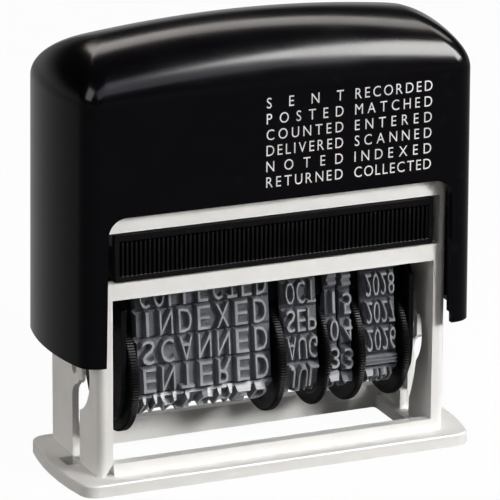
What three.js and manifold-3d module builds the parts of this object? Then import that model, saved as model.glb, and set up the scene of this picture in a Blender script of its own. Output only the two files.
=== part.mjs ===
// Phrase date stamp: a self-inking stamp with one band of phrases and four date bands.
// Millimetres. X runs along the printed line, Y towards the back, Z up. The origin is the
// middle of the foot's underside. The cap is at rest, so the print face is up at the pad.

import * as THREE from 'three';
import { mergeVertices } from 'three/addons/utils/BufferGeometryUtils.js';
import Module from 'manifold-3d';

const wasm = await Module();
wasm.setup();

// Clearances and cutting
const clearance = 0.3;
const runningGap = 0.2;
const overrun = 1;

// Wheels and bands: their widths add up to the length of the print mechanism
const phraseRimWidth = 1.4;
const monthRimWidth = 1.25;
const dayTensRimWidth = 0.75;
const dayUnitsRimWidth = 1.1;
const yearRimWidth = 1;
const phraseBandWidth = 23.45;
const monthBandWidth = 6.4;
const dayBandWidth = 2.2;
const yearBandWidth = 6.25;
const wheelCount = 5;
const drumRadius = 6.1;
const rimRadius = 9.7;
const rimChamfer = 0.2;
const bandThickness = 0.8;
const typeHeight = 0.9;
const typeRowShare = 0.765;
const typeSideMargin = 0.35;
const bandRows = 14;
const printFlatHalfDepth = 4.3;
const printCornerRadius = 1;

// Print mechanism: end plates, print bridge and axle
const faceRadius = 7.55;
const wheelDrop = 8.75;
const plateThickness = 0.9;
const plateHalfDepth = 8;
const plateTopDrop = 2.8;
const plateShoulderDrop = 1;
const plateCrownHalfDepth = 3;
const pivotPinRadius = 1.1;
const pivotBossRadius = 2.1;
const pivotCollarRadius = 2;
const axleRadius = 1.25;
const axleHeadRadius = 1.9;
const axleHeadLength = 0.5;
const bridgeTopInset = 0.4;
const bridgeBottomSpread = 0.4;
const tenonHalfDepth = 1;
const tenonHeight = 1.6;
const tenonLength = 1.8;

// Travel of the cap
const pressTravel = 17;

// Foot: the plate with the print opening that the stamp stands on
const footThickness = 2;
const footEndMargin = 4.6;
const footFrontMargin = 3.2;
const footRearMargin = 1.6;
const footEndBulge = 1.5;
const footCornerRadius = 2.75;
const printOpeningEndMargin = 1.2;
const printOpeningCornerRadius = 0.6;
const snapHoleLength = 2.4;
const snapHoleFrontY = -2.7;
const snapHoleRearY = 1;

// Frame: end walls, rails and top plate in one moulding
const plateSideRoom = 2.3;
const rimRoom = 0.6;
const endWallThickness = 2.4;
const thinWallThickness = 1.6;
const railDepth = 1.8;
const lowerRailHeight = 2;
const rearRailHeight = 1.9;
const frontRailHeight = 2.7;
const frontSlotRise = 1.6;
const slotHeight = 8.2;
const topRailHeight = 4.1;
const topPlateThickness = 1.6;
const runnerHeight = 0.6;
const frameFrontCornerRadius = 1.4;
const frameRearCornerRadius = 0.3;
const frameTopEdgeRadius = 2.4;
const stileNotchWidth = 1.4;
const stileNotchHeight = 2.2;
const locatingPinRadius = 0.9;
const locatingPinLength = 1.3;
const locatingPinY = 6.4;

// Cam slot through each end wall, and the wider track behind it
const camSlotFrontY = -2;
const camSlotRearY = 1.2;
const camSlotRise = 1.45;
const camBulgeY = 0.1;
const camBulgeRise = 0.85;
const camBulgeRadius = 6.5;
const camNubFrontY = -1.9;
const camNubLowDrop = 4.7;
const camNubShoulderDrop = 2;
const camNubHighRise = 5;
const camNubRounding = 0.7;
const camNubHoleRadius = 1;
const camNubHoleY = 0.4;
const camNubHoleRise = 0.1;
const camTrackDepth = 1.3;
const camPinRadius = 1;
const camPinOffset = 3.4;

// Return spring and its collar
const springRadius = 4.2;
const springWireRadius = 0.4;
const springTurns = 5;
const springRoom = 0.4;
const springCollarWall = 0.9;
const springCollarHeight = 1.9;
const springSpigotLength = 2.2;

// Yoke: the stirrup under the cap's roof that carries the print mechanism
const yokeLegThickness = 0.9;
const yokeLegFrontY = 1.5;
const yokeLegRearY = 7;
const yokeBarThickness = 1.4;
const yokeBarHalfDepth = 7;
const yokeHoleRoom = 1.1;

// Cap: the long domed grip
const capWall = 1.8;
const capEndRoom = 3.06;
const capSideRoom = 0.83;
const capRoofRoom = 4;
const capFootRoom = 2.04;
const capDomeRise = 9.8;
const capRidgeDrop = 3.2;
const capEndRound = 9;
const capTaper = 0.4;
const capEndBulge = 2.04;
const capCornerRadius = 3.4;
const capOpeningInset = 0.75;
const capOpeningTopDrop = 0.9;
const capOpeningCornerRadius = 3;
const capOpeningDraft = 0.4;
const capRebateHeight = 1.6;
const capRebateDepth = 0.9;
const guideRibThickness = 1.2;
const guideRibY = 7.4;
const guideRibBottomRise = 3;
const guideRibTopDrop = 2.6;
const capPostRadius = 2.2;
const capPostX = 18;

// Ink cartridge and its felt
const gripPlateThickness = 1.2;
const gripPlateBorderTop = 1.3;
const gripPlateBorderBottom = 1;
const gripPlateBorderEnd = 0.9;
const gripRibs = 70;
const gripRibDepth = 0.35;
const gripRibShare = 0.5;
const trayEndRoom = 1.7;
const trayRearInset = 1.3;
const trayWall = 1;
const trayRoofThickness = 1.2;
const feltHalfDepth = 7;
const feltThickness = 4.3;

// Fineness of round shapes
const wheelSides = 36;
const pinSides = 16;
const cornerSteps = 4;
const endSteps = 6;
const ridgeSteps = 10;
const domeSteps = 6;
const bandArcSteps = 18;
const typeRowSteps = 3;
const camSteps = 20;
const springStepsPerTurn = 8;
const springWireSides = 5;

// Lengths that follow: the wheels, then the end plates, frame, cartridge, foot and cap round them
const rimWidths = phraseRimWidth + monthRimWidth + dayTensRimWidth + dayUnitsRimWidth + yearRimWidth;
const bandWidths = phraseBandWidth + monthBandWidth + 2 * dayBandWidth + yearBandWidth;
const stackLength = rimWidths + bandWidths + wheelCount * runningGap + (wheelCount - 1) * clearance;
const plateInnerX = stackLength / 2 + clearance;
const plateOuterX = plateInnerX + plateThickness;
const wallInnerX = plateOuterX + plateSideRoom;
const frameHalfLength = wallInnerX + endWallThickness;
const trackFloorX = wallInnerX + camTrackDepth;
const pinTipX = trackFloorX - clearance;
const yokeLegInnerX = pinTipX - yokeLegThickness;
const gripPlateHalfLength = wallInnerX - clearance;
const trayHalfLength = wallInnerX - trayEndRoom;
const printOpeningHalfLength = wallInnerX - printOpeningEndMargin;
const footHalfLength = frameHalfLength + footEndMargin;
const capHalfLength = frameHalfLength + capEndRoom + capWall;
const capOpeningHalfLength = frameHalfLength - capOpeningInset;

// Depths that follow, from the wheels' rims outwards
const frameRearY = rimRadius + rimRoom;
const frameFrontY = -frameRearY;
const railInnerY = frameRearY - railDepth;
const trayRearY = frameRearY - trayRearInset;
const trayLipFrontY = clearance - railInnerY;
const footFrontReach = frameRearY + footFrontMargin;
const footRearReach = frameRearY + footRearMargin;
const capHalfDepth = frameRearY + capSideRoom + capWall;

// Heights that follow, from the paper upwards
const pivotZ = faceRadius + pressTravel;
const printFaceZ = pivotZ + faceRadius;
const wheelAxisZ = pivotZ - wheelDrop;
const bridgeBottomZ = wheelAxisZ + rimRadius + clearance;
const bandCrownZ = printFaceZ - typeHeight;
const bandCornerZ = bandCrownZ - printCornerRadius;
const bridgeTopZ = bandCrownZ - bandThickness - clearance;
const bandWheelRadius = drumRadius + clearance + bandThickness;
const plateTopZ = printFaceZ - plateTopDrop;
const plateShoulderZ = plateTopZ - plateShoulderDrop;
const camSlotTopZ = pivotZ + camSlotRise;
const camBulgeZ = (pivotZ + faceRadius) / 2 + camBulgeRise;
const rearSlotFloorZ = printFaceZ;
const rearWindowTopZ = rearSlotFloorZ - rearRailHeight;
const frontSlotFloorZ = printFaceZ + frontSlotRise;
const frontWindowTopZ = frontSlotFloorZ - frontRailHeight;
const runnerTopZ = rearSlotFloorZ + runnerHeight;
const slotTopZ = frontSlotFloorZ + slotHeight;
const frameTopZ = slotTopZ + topRailHeight;
const feltBottomZ = printFaceZ + clearance;
const feltTopZ = feltBottomZ + feltThickness;
const trayRoofZ = feltTopZ + clearance + trayRoofThickness;
const yokeBarTopZ = frameTopZ + springCollarHeight + pressTravel + clearance + yokeBarThickness;
const capRoofZ = yokeBarTopZ + capRoofRoom;
const capTopZ = capRoofZ + capWall;
const capShoulderZ = capTopZ - capDomeRise;
const capOpeningTopZ = frameTopZ - capOpeningTopDrop;
const capBottomZ = footThickness + pressTravel + capFootRoom;

// Turns a closed geometry into a solid that can be joined and cut.
function toSolid(geometry) {
  const bare = geometry.index ? geometry.clone() : geometry;
  bare.deleteAttribute('normal');
  bare.deleteAttribute('uv');
  const merged = mergeVertices(bare);
  return new wasm.Manifold(new wasm.Mesh({
    numProp: 3,
    vertProperties: new Float32Array(merged.attributes.position.array),
    triVerts: new Uint32Array(merged.index.array),
  }));
}

function toGeometry(solid) {
  const mesh = solid.getMesh();
  const geometry = new THREE.BufferGeometry();
  geometry.setAttribute('position', new THREE.BufferAttribute(mesh.vertProperties, 3));
  geometry.setIndex(new THREE.BufferAttribute(mesh.triVerts, 1));
  geometry.computeVertexNormals();
  return geometry;
}

function join(solids) {
  return solids.reduce((whole, solid) => whole.add(solid));
}

function cut(body, cutters) {
  return cutters.reduce((rest, cutter) => rest.subtract(cutter), body);
}

// A box given by its span along each axis.
function block([x0, x1], [y0, y1], [z0, z1]) {
  const geometry = new THREE.BoxGeometry(x1 - x0, y1 - y0, z1 - z0);
  geometry.translate((x0 + x1) / 2, (y0 + y1) / 2, (z0 + z1) / 2);
  return toSolid(geometry);
}

// A cylinder whose axis runs along X at the given Y and Z.
function rodAlongX(radius, x0, x1, y, z, sides) {
  const geometry = new THREE.CylinderGeometry(radius, radius, x1 - x0, sides);
  geometry.rotateZ(-Math.PI / 2);
  geometry.translate((x0 + x1) / 2, y, z);
  return toSolid(geometry);
}

function rodAlongZ(radius, x, y, z0, z1, sides) {
  const geometry = new THREE.CylinderGeometry(radius, radius, z1 - z0, sides);
  geometry.rotateX(Math.PI / 2);
  geometry.translate(x, y, (z0 + z1) / 2);
  return toSolid(geometry);
}

function extrude(points, depth) {
  return new THREE.ExtrudeGeometry(new THREE.Shape(points), { depth, bevelEnabled: false });
}

const unitX = new THREE.Vector3(1, 0, 0);
const unitY = new THREE.Vector3(0, 1, 0);
const unitZ = new THREE.Vector3(0, 0, 1);

// An outline in (y, z) pushed along X from x0 to x1.
function prismAlongX(points, x0, x1) {
  const geometry = extrude(points, x1 - x0);
  geometry.applyMatrix4(new THREE.Matrix4().makeBasis(unitY, unitZ, unitX));
  geometry.translate(x0, 0, 0);
  return toSolid(geometry);
}

// An outline in (x, z) pushed along Y from y0 to y1.
function prismAlongY(points, y0, y1) {
  const geometry = extrude(points, y1 - y0);
  geometry.applyMatrix4(new THREE.Matrix4().makeBasis(unitX, unitZ, unitY.clone().negate()));
  geometry.translate(0, y1, 0);
  return toSolid(geometry);
}

// An outline in (x, y) pushed along Z from z0 to z1.
function prismAlongZ(points, z0, z1) {
  const geometry = extrude(points, z1 - z0);
  geometry.translate(0, 0, z0);
  return toSolid(geometry);
}

// A profile of (radius, x) pairs turned about the line y = 0, z = axisZ.
function turnedAboutX(profile, axisZ, sides) {
  const points = profile.map(([radius, x]) => new THREE.Vector2(radius, x));
  const geometry = new THREE.LatheGeometry(points, sides);
  geometry.rotateZ(-Math.PI / 2);
  geometry.translate(0, 0, axisZ);
  return toSolid(geometry);
}

function mirrorX(solid) {
  return solid.mirror([1, 0, 0]);
}

function point(a, b) {
  return new THREE.Vector2(a, b);
}

// Points of an arc about (a, b), both ends included.
function arc(a, b, radius, from, to, steps) {
  const points = [];
  for (let i = 0; i <= steps; i += 1) {
    const angle = from + (to - from) * (i / steps);
    points.push(point(a + radius * Math.cos(angle), b + radius * Math.sin(angle)));
  }
  return points;
}

// A rectangle round the origin whose two front corners and two rear corners are rounded.
function roundedRectangle(halfA, halfB, frontRadius, rearRadius) {
  const frontA = halfA - frontRadius;
  const frontB = halfB - frontRadius;
  const rearA = halfA - rearRadius;
  const rearB = halfB - rearRadius;
  const quarter = Math.PI / 2;
  return [
    ...arc(frontA, -frontB, frontRadius, -quarter, 0, cornerSteps),
    ...arc(rearA, rearB, rearRadius, 0, quarter, cornerSteps),
    ...arc(-rearA, rearB, rearRadius, quarter, 2 * quarter, cornerSteps),
    ...arc(-frontA, -frontB, frontRadius, 2 * quarter, 3 * quarter, cornerSteps),
  ];
}

// The plan of the foot and the cap: straight front and back, ends that swell outwards.
function swellingPlan(halfLength, halfDepth, bulge, cornerRadius, straightSteps) {
  const endRadius = (halfDepth ** 2 + bulge ** 2) / (2 * bulge);
  const endCentre = halfLength - endRadius;
  const cornerY = halfDepth - cornerRadius;
  const cornerX = endCentre + Math.sqrt((endRadius - cornerRadius) ** 2 - cornerY ** 2);
  const join = Math.atan2(cornerY, cornerX - endCentre);
  const quarter = Math.PI / 2;
  const quadrant = [
    ...arc(cornerX, -cornerY, cornerRadius, -quarter, -join, cornerSteps),
    ...arc(endCentre, 0, endRadius, -join, 0, endSteps / 2).slice(1),
  ];
  const straight = [];
  for (let i = 1; i < straightSteps; i += 1) {
    straight.push(point(cornerX * (i / straightSteps), -halfDepth));
  }
  const frontRight = [...straight, ...quadrant];
  const backRight = frontRight.slice(0, -1).reverse().map((p) => point(p.x, -p.y));
  const right = [point(0, -halfDepth), ...frontRight, ...backRight];
  const left = [...frontRight, ...backRight].map((p) => point(-p.x, -p.y));
  return [...right, point(0, halfDepth), ...left];
}

// A tall body with the swelling plan that tapers upwards and closes in a long arched ridge.
function domedBody({ halfLength, halfDepth, bulge, cornerRadius, bottomZ, shoulderZ, topZ, endRound }) {
  const plan = swellingPlan(halfLength, halfDepth, bulge, cornerRadius, ridgeSteps / 2);
  const positions = [];
  plan.forEach((p) => positions.push(p.x, p.y, bottomZ));
  for (let step = 0; step <= domeSteps; step += 1) {
    const lean = (step / domeSteps) * (Math.PI / 2);
    const lengthShare = (halfLength - capTaper - endRound * (1 - Math.cos(lean))) / halfLength;
    plan.forEach((p) => {
      const x = p.x * lengthShare;
      const ridgeZ = topZ - capRidgeDrop * (x / capHalfLength) ** 2;
      positions.push(x, p.y * Math.cos(lean), shoulderZ + (ridgeZ - shoulderZ) * Math.sin(lean));
    });
  }
  const count = plan.length;
  const triangles = [];
  for (let ring = 0; ring <= domeSteps; ring += 1) {
    for (let i = 0; i < count; i += 1) {
      const a = ring * count + i;
      const b = ring * count + ((i + 1) % count);
      triangles.push(a, b, b + count, a, b + count, a + count);
    }
  }
  const middle = positions.length / 3;
  positions.push(0, 0, bottomZ);
  for (let i = 0; i < count; i += 1) {
    triangles.push(middle, (i + 1) % count, i);
  }
  const geometry = new THREE.BufferGeometry();
  geometry.setAttribute('position', new THREE.Float32BufferAttribute(positions, 3));
  geometry.setIndex(triangles);
  return toSolid(geometry);
}

// Foot

function makeFoot() {
  const halfDepth = (footFrontReach + footRearReach) / 2;
  const middleY = (footRearReach - footFrontReach) / 2;
  const plan = swellingPlan(footHalfLength, halfDepth, footEndBulge, footCornerRadius, 2);
  const plate = prismAlongZ(plan.map((p) => point(p.x, p.y + middleY)), 0, footThickness);
  const opening = prismAlongZ(
    roundedRectangle(printOpeningHalfLength, railInnerY,
      printOpeningCornerRadius, printOpeningCornerRadius),
    -overrun, footThickness + overrun);
  const snapHole = block(
    [frameHalfLength, frameHalfLength + snapHoleLength],
    [snapHoleFrontY, snapHoleRearY],
    [-overrun, footThickness + overrun]);
  const sockets = locatingPins(locatingPinRadius + clearance,
    footThickness - locatingPinLength - clearance, footThickness + overrun);
  return cut(plate, [opening, snapHole, mirrorX(snapHole), sockets]);
}

// Frame

function locatingPins(radius, z0, z1) {
  const x = frameHalfLength - endWallThickness / 2;
  const pins = [-x, x].flatMap((px) => [-locatingPinY, locatingPinY].map(
    (py) => rodAlongZ(radius, px, py, z0, z1, pinSides)));
  return join(pins);
}

// The slot that shows in the end wall: straight below, swelling forwards round a nub above.
function camSlotOutline() {
  const reach = Math.sqrt(camBulgeRadius ** 2 - (camSlotFrontY - camBulgeY) ** 2);
  const side = Math.atan2(reach, camSlotFrontY - camBulgeY);
  const nubLowZ = camBulgeZ - camNubLowDrop;
  const nubShoulderZ = camBulgeZ - camNubShoulderDrop;
  const nubHighZ = camBulgeZ + camNubHighRise;
  const nubFaceLowZ = nubShoulderZ + camNubRounding;
  const nubFaceHighZ = nubHighZ - (nubShoulderZ - nubLowZ);
  const lowCurve = new THREE.QuadraticBezierCurve(
    point(camNubFrontY + camNubRounding, nubShoulderZ),
    point(camSlotRearY, nubShoulderZ - camNubRounding),
    point(camSlotRearY, nubLowZ));
  const highCurve = new THREE.QuadraticBezierCurve(
    point(camSlotRearY, nubHighZ),
    point(camSlotRearY, nubFaceHighZ + camNubRounding),
    point(camNubFrontY, nubFaceHighZ));
  return [
    point(camSlotRearY, footThickness - overrun),
    ...lowCurve.getPoints(cornerSteps).reverse(),
    point(camNubFrontY, nubFaceLowZ),
    ...highCurve.getPoints(cornerSteps).reverse(),
    point(camSlotRearY, camSlotTopZ),
    point(camSlotFrontY, camSlotTopZ),
    ...arc(camBulgeY, camBulgeZ, camBulgeRadius, side, 2 * Math.PI - side, camSteps),
    point(camSlotFrontY, footThickness - overrun),
  ];
}

// Place of the cam pin, in (y, z), at a share of the press from 0 to 1.
function camPinPlace(pressShare) {
  const turn = Math.PI * pressShare;
  const z = pivotZ - pressTravel * pressShare;
  return point(-camPinOffset * Math.sin(turn), z + camPinOffset * Math.cos(turn));
}

// The track cut into the wall's inner side, where the cam pin sweeps past.
function camTrackOutline() {
  const room = camPinRadius + clearance;
  const top = camPinPlace(0);
  const bottom = camPinPlace(1);
  const front = [];
  for (let i = 0; i <= camSteps; i += 1) {
    const place = camPinPlace(i / camSteps);
    const before = camPinPlace(Math.max(0, i - 1) / camSteps);
    const after = camPinPlace(Math.min(camSteps, i + 1) / camSteps);
    const along = after.sub(before).normalize();
    front.push(point(place.x + room * along.y, place.y - room * along.x));
  }
  return [
    point(top.x + room, top.y + room),
    point(top.x - room / 2, top.y + room),
    ...front,
    point(bottom.x - room / 2, bottom.y - room),
    point(bottom.x + room, bottom.y - room),
  ];
}

function makeFrame() {
  const rearY = frameRearY;
  const plan = prismAlongZ(
    roundedRectangle(frameHalfLength, rearY, frameFrontCornerRadius, frameRearCornerRadius),
    footThickness, frameTopZ);
  const topArcZ = frameTopZ - frameTopEdgeRadius;
  const topArcY = rearY - frameTopEdgeRadius;
  const side = prismAlongX([
    point(-rearY, footThickness - overrun),
    point(rearY, footThickness - overrun),
    ...arc(topArcY, topArcZ, frameTopEdgeRadius, 0, Math.PI / 2, cornerSteps),
    ...arc(-topArcY, topArcZ, frameTopEdgeRadius, Math.PI / 2, Math.PI, cornerSteps),
  ], -frameHalfLength - overrun, frameHalfLength + overrun);
  const inside = block([-wallInnerX, wallInnerX], [-railInnerY, railInnerY],
    [footThickness - overrun, frameTopZ - topPlateThickness]);
  const windowFloorZ = footThickness + lowerRailHeight;
  const frontWindow = block([-wallInnerX, wallInnerX],
    [frameFrontY - overrun, 0], [windowFloorZ, frontWindowTopZ]);
  const rearWindow = block([-wallInnerX, wallInnerX],
    [0, rearY + overrun], [windowFloorZ, rearWindowTopZ]);
  const slotHalfLength = frameHalfLength - thinWallThickness;
  const frontSlot = block([-slotHalfLength, slotHalfLength],
    [frameFrontY - overrun, 0], [frontSlotFloorZ, slotTopZ]);
  const rearSlot = block([-slotHalfLength, slotHalfLength],
    [0, rearY + overrun], [rearSlotFloorZ, slotTopZ]);
  const legChannel = block([wallInnerX - overrun, trackFloorX],
    [0, yokeLegRearY + clearance],
    [faceRadius - pivotBossRadius - clearance, frameTopZ + overrun]);
  const camSlot = prismAlongX(camSlotOutline(), wallInnerX - overrun, frameHalfLength + overrun);
  const camTrack = prismAlongX(camTrackOutline(), wallInnerX - overrun, trackFloorX);
  const nubHole = rodAlongX(camNubHoleRadius, wallInnerX, frameHalfLength + overrun,
    camNubHoleY, camBulgeZ + camNubHoleRise, pinSides);
  const endCuts = [legChannel, camSlot, camTrack, nubHole];
  const stileNotch = prismAlongY([
    point(-wallInnerX - stileNotchWidth, footThickness),
    point(-wallInnerX + clearance, footThickness),
    point(-wallInnerX, footThickness + stileNotchHeight),
  ], frameFrontY - overrun, -railInnerY);
  const shell = cut(plan.intersect(side), [
    inside, frontWindow, rearWindow, frontSlot, rearSlot, stileNotch,
    ...endCuts, ...endCuts.map(mirrorX)]);
  const runner = block([trayHalfLength - trayWall, slotHalfLength + thinWallThickness / 2],
    [railInnerY, rearY], [rearWindowTopZ, runnerTopZ]);
  const collar = springCollar();
  const pins = locatingPins(locatingPinRadius, footThickness - locatingPinLength,
    footThickness + locatingPinLength);
  return join([shell, runner, mirrorX(runner), collar, pins]);
}

function springCollar() {
  const top = frameTopZ + springCollarHeight;
  const boreRadius = springRadius + springWireRadius + springRoom;
  const outer = rodAlongZ(boreRadius + springCollarWall, 0, 0,
    frameTopZ - topPlateThickness, top, pinSides);
  const bore = rodAlongZ(boreRadius, 0, 0, frameTopZ, top + overrun, pinSides);
  return outer.subtract(bore);
}

// Return spring: one wire, wound round the middle of the stamp

function makeSpring() {
  const lowZ = frameTopZ + clearance + springWireRadius;
  const highZ = capRoofZ - clearance - springWireRadius;
  const steps = springTurns * springStepsPerTurn;
  const positions = [];
  const pitch = (highZ - lowZ) / springTurns;
  const climb = Math.atan2(pitch, 2 * Math.PI * springRadius);
  for (let i = 0; i <= steps; i += 1) {
    const angle = (i / springStepsPerTurn) * 2 * Math.PI;
    const z = lowZ + (highZ - lowZ) * (i / steps);
    for (let side = 0; side < springWireSides; side += 1) {
      const around = (side / springWireSides) * 2 * Math.PI;
      const outwards = springRadius + springWireRadius * Math.cos(around);
      const lift = springWireRadius * Math.sin(around);
      const back = lift * Math.sin(climb);
      positions.push(
        outwards * Math.cos(angle) + back * Math.sin(angle),
        outwards * Math.sin(angle) - back * Math.cos(angle),
        z + lift * Math.cos(climb));
    }
  }
  const triangles = [];
  for (let i = 0; i < steps; i += 1) {
    for (let side = 0; side < springWireSides; side += 1) {
      const a = i * springWireSides + side;
      const b = i * springWireSides + ((side + 1) % springWireSides);
      triangles.push(a, a + springWireSides, b, b, a + springWireSides, b + springWireSides);
    }
  }
  for (let side = 1; side < springWireSides - 1; side += 1) {
    const last = steps * springWireSides;
    triangles.push(0, side, side + 1, last, last + side + 1, last + side);
  }
  const geometry = new THREE.BufferGeometry();
  geometry.setAttribute('position', new THREE.Float32BufferAttribute(positions, 3));
  geometry.setIndex(triangles);
  return toSolid(geometry);
}

// Cap

function makeCap() {
  const outer = domedBody({
    halfLength: capHalfLength,
    halfDepth: capHalfDepth,
    bulge: capEndBulge,
    cornerRadius: capCornerRadius,
    bottomZ: capBottomZ,
    shoulderZ: capShoulderZ,
    topZ: capTopZ,
    endRound: capEndRound,
  });
  const inner = domedBody({
    halfLength: capHalfLength - capWall,
    halfDepth: capHalfDepth - capWall,
    bulge: capEndBulge,
    cornerRadius: capCornerRadius - capWall,
    bottomZ: capBottomZ - overrun,
    shoulderZ: capShoulderZ,
    topZ: capRoofZ,
    endRound: capEndRound - capWall,
  });
  const shell = cut(outer, [inner, capRebate(), capOpening()]);
  const fittings = outer.intersect(join([
    ...guideRibs(),
    rodAlongZ(capPostRadius, capPostX, 0, yokeBarTopZ, capTopZ, pinSides),
    rodAlongZ(capPostRadius, -capPostX, 0, yokeBarTopZ, capTopZ, pinSides),
    rodAlongZ(springRadius - springWireRadius - springRoom, 0, 0,
      capRoofZ - springSpigotLength, capTopZ, pinSides),
  ]));
  return shell.add(fittings);
}

// The opening through front and back, whose sides lean outwards towards the bottom
function capOpening() {
  const radius = capOpeningCornerRadius;
  const arcX = capOpeningHalfLength - radius;
  const arcZ = capOpeningTopZ - radius;
  const footX = capOpeningHalfLength + capOpeningDraft;
  return prismAlongY([
    point(-footX, capBottomZ - overrun),
    point(footX, capBottomZ - overrun),
    ...arc(arcX, arcZ, radius, 0, Math.PI / 2, cornerSteps),
    ...arc(-arcX, arcZ, radius, Math.PI / 2, Math.PI, cornerSteps),
  ], -capHalfDepth - overrun, capHalfDepth + overrun);
}

// The step that thins the wall along its bottom edge, on the inside
function capRebate() {
  const wall = capWall - capRebateDepth;
  const plan = swellingPlan(capHalfLength - wall, capHalfDepth - wall, capEndBulge,
    capCornerRadius - wall, 2);
  return prismAlongZ(plan, capBottomZ - overrun, capBottomZ + capRebateHeight);
}

// Ribs inside the cap's ends that slide along the frame's end walls
function guideRibs() {
  return [-guideRibY, guideRibY].flatMap((y) => {
    const rib = block([frameHalfLength + clearance, capHalfLength - capWall / 2],
      [y - guideRibThickness / 2, y + guideRibThickness / 2],
      [capBottomZ + guideRibBottomRise, capShoulderZ - guideRibTopDrop]);
    return [rib, mirrorX(rib)];
  });
}

// Yoke

function makeYoke() {
  const bar = block([-pinTipX, pinTipX], [-yokeBarHalfDepth, yokeBarHalfDepth],
    [yokeBarTopZ - yokeBarThickness, yokeBarTopZ]);
  const hole = rodAlongZ(springRadius + springWireRadius + yokeHoleRoom, 0, 0,
    yokeBarTopZ - yokeBarThickness - overrun, yokeBarTopZ + overrun, pinSides);
  const footZ = pivotZ - pivotBossRadius;
  const leg = block([yokeLegInnerX, pinTipX], [yokeLegFrontY, yokeLegRearY], [footZ, yokeBarTopZ]);
  const boss = rodAlongX(pivotBossRadius, yokeLegInnerX, pinTipX, 0, pivotZ, pinSides);
  const neck = block([yokeLegInnerX, pinTipX], [0, yokeLegFrontY + overrun],
    [footZ, pivotZ + pivotBossRadius]);
  const arm = cut(join([leg, boss, neck]), [pivotBore(), camPinRoom()]);
  return join([bar.subtract(hole), arm, mirrorX(arm)]);
}

function pivotBore() {
  return rodAlongX(pivotPinRadius + clearance, yokeLegInnerX - overrun, pinTipX + overrun,
    0, pivotZ, pinSides);
}

// Room round the cam pin at rest, taken out of the neck of the yoke's arm
function camPinRoom() {
  const place = camPinPlace(0);
  return rodAlongX(camPinRadius + clearance, yokeLegInnerX - overrun, pinTipX + overrun,
    place.x, place.y, pinSides);
}

// End plates of the print mechanism

function makeEndPlate() {
  const outline = [
    ...arc(0, wheelAxisZ, plateHalfDepth, Math.PI, 2 * Math.PI, bandArcSteps / 2),
    point(plateHalfDepth, plateShoulderZ),
    point(plateCrownHalfDepth, plateTopZ),
    point(-plateCrownHalfDepth, plateTopZ),
    point(-plateHalfDepth, plateShoulderZ),
  ];
  const plate = prismAlongX(outline, plateInnerX, plateOuterX);
  const axleHole = rodAlongX(axleRadius + clearance, plateInnerX - overrun, plateOuterX + overrun,
    0, wheelAxisZ, pinSides);
  const rootX = plateInnerX + plateThickness / 2;
  const tenon = bridgeTenon(0, plateInnerX - tenonLength, rootX);
  const collar = rodAlongX(pivotCollarRadius, rootX, yokeLegInnerX - clearance,
    0, pivotZ, pinSides);
  const pivotPin = rodAlongX(pivotPinRadius, rootX, pinTipX, 0, pivotZ, pinSides);
  const camPlace = camPinPlace(0);
  const camPin = rodAlongX(camPinRadius, rootX, pinTipX, camPlace.x, camPlace.y, pinSides);
  return join([plate.subtract(axleHole), tenon, collar, pivotPin, camPin]);
}

// Print bridge: the bar that the bands run over at the print face

// The tenon on each end plate that holds the bridge, or with room round it, its pocket
function bridgeTenon(room, x0, x1) {
  const middleZ = (bridgeTopZ + bridgeBottomZ) / 2;
  const reachZ = tenonHeight / 2 + room;
  const reachY = tenonHalfDepth + room;
  return block([x0, x1], [-reachY, reachY], [middleZ - reachZ, middleZ + reachZ]);
}

function makeBridge() {
  const topHalfDepth = printFlatHalfDepth - bridgeTopInset;
  const bottomHalfDepth = printFlatHalfDepth + bridgeBottomSpread;
  const bar = prismAlongX([
    point(-bottomHalfDepth, bridgeBottomZ),
    point(bottomHalfDepth, bridgeBottomZ),
    point(topHalfDepth, bridgeTopZ),
    point(-topHalfDepth, bridgeTopZ),
  ], -plateInnerX, plateInnerX);
  const pocket = bridgeTenon(clearance, plateInnerX - tenonLength - clearance, plateInnerX + overrun);
  return cut(bar, [pocket, mirrorX(pocket)]);
}

function makeAxle() {
  const tipX = plateOuterX + axleHeadLength;
  const rod = rodAlongX(axleRadius, -tipX, tipX, 0, wheelAxisZ, pinSides);
  const head = rodAlongX(axleHeadRadius, plateOuterX, tipX, 0, wheelAxisZ, pinSides);
  return join([rod, head, mirrorX(head)]);
}

// Wheels

function makeWheel({ rim, drum }) {
  const bore = axleRadius + clearance;
  const rimOnLeft = rim[0] < drum[0];
  const [start, end] = rimOnLeft ? [rim[0], drum[1]] : [drum[0], rim[1]];
  const step = rimOnLeft ? rim[1] : rim[0];
  const rimLow = rimOnLeft ? start : step;
  const rimHigh = rimOnLeft ? step : end;
  const rimProfile = [
    [rimRadius - rimChamfer, rimLow],
    [rimRadius, rimLow + rimChamfer],
    [rimRadius, rimHigh - rimChamfer],
    [rimRadius - rimChamfer, rimHigh],
  ];
  const profile = rimOnLeft
    ? [[bore, start], ...rimProfile, [drumRadius, step], [drumRadius, end], [bore, end]]
    : [[bore, start], [drumRadius, start], [drumRadius, step], ...rimProfile, [bore, end]];
  return turnedAboutX([...profile, profile[0]], wheelAxisZ, wheelSides);
}

// Bands: rubber loops over a wheel and the print bridge

const bandCentreRise = bandCornerZ - wheelAxisZ;
const bandCentreDistance = Math.hypot(printFlatHalfDepth, bandCentreRise);
const bandTilt = Math.asin((bandWheelRadius - printCornerRadius) / bandCentreDistance)
  - Math.atan2(printFlatHalfDepth, bandCentreRise);
const bandSideLength = Math.sqrt(
  bandCentreDistance ** 2 - (bandWheelRadius - printCornerRadius) ** 2);
const bandCornerLength = printCornerRadius * (Math.PI / 2 - bandTilt);
const bandWheelLength = bandWheelRadius * (Math.PI / 2 + bandTilt);
const bandLoopLength = 2 * (printFlatHalfDepth + bandCornerLength + bandSideLength + bandWheelLength);

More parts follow.
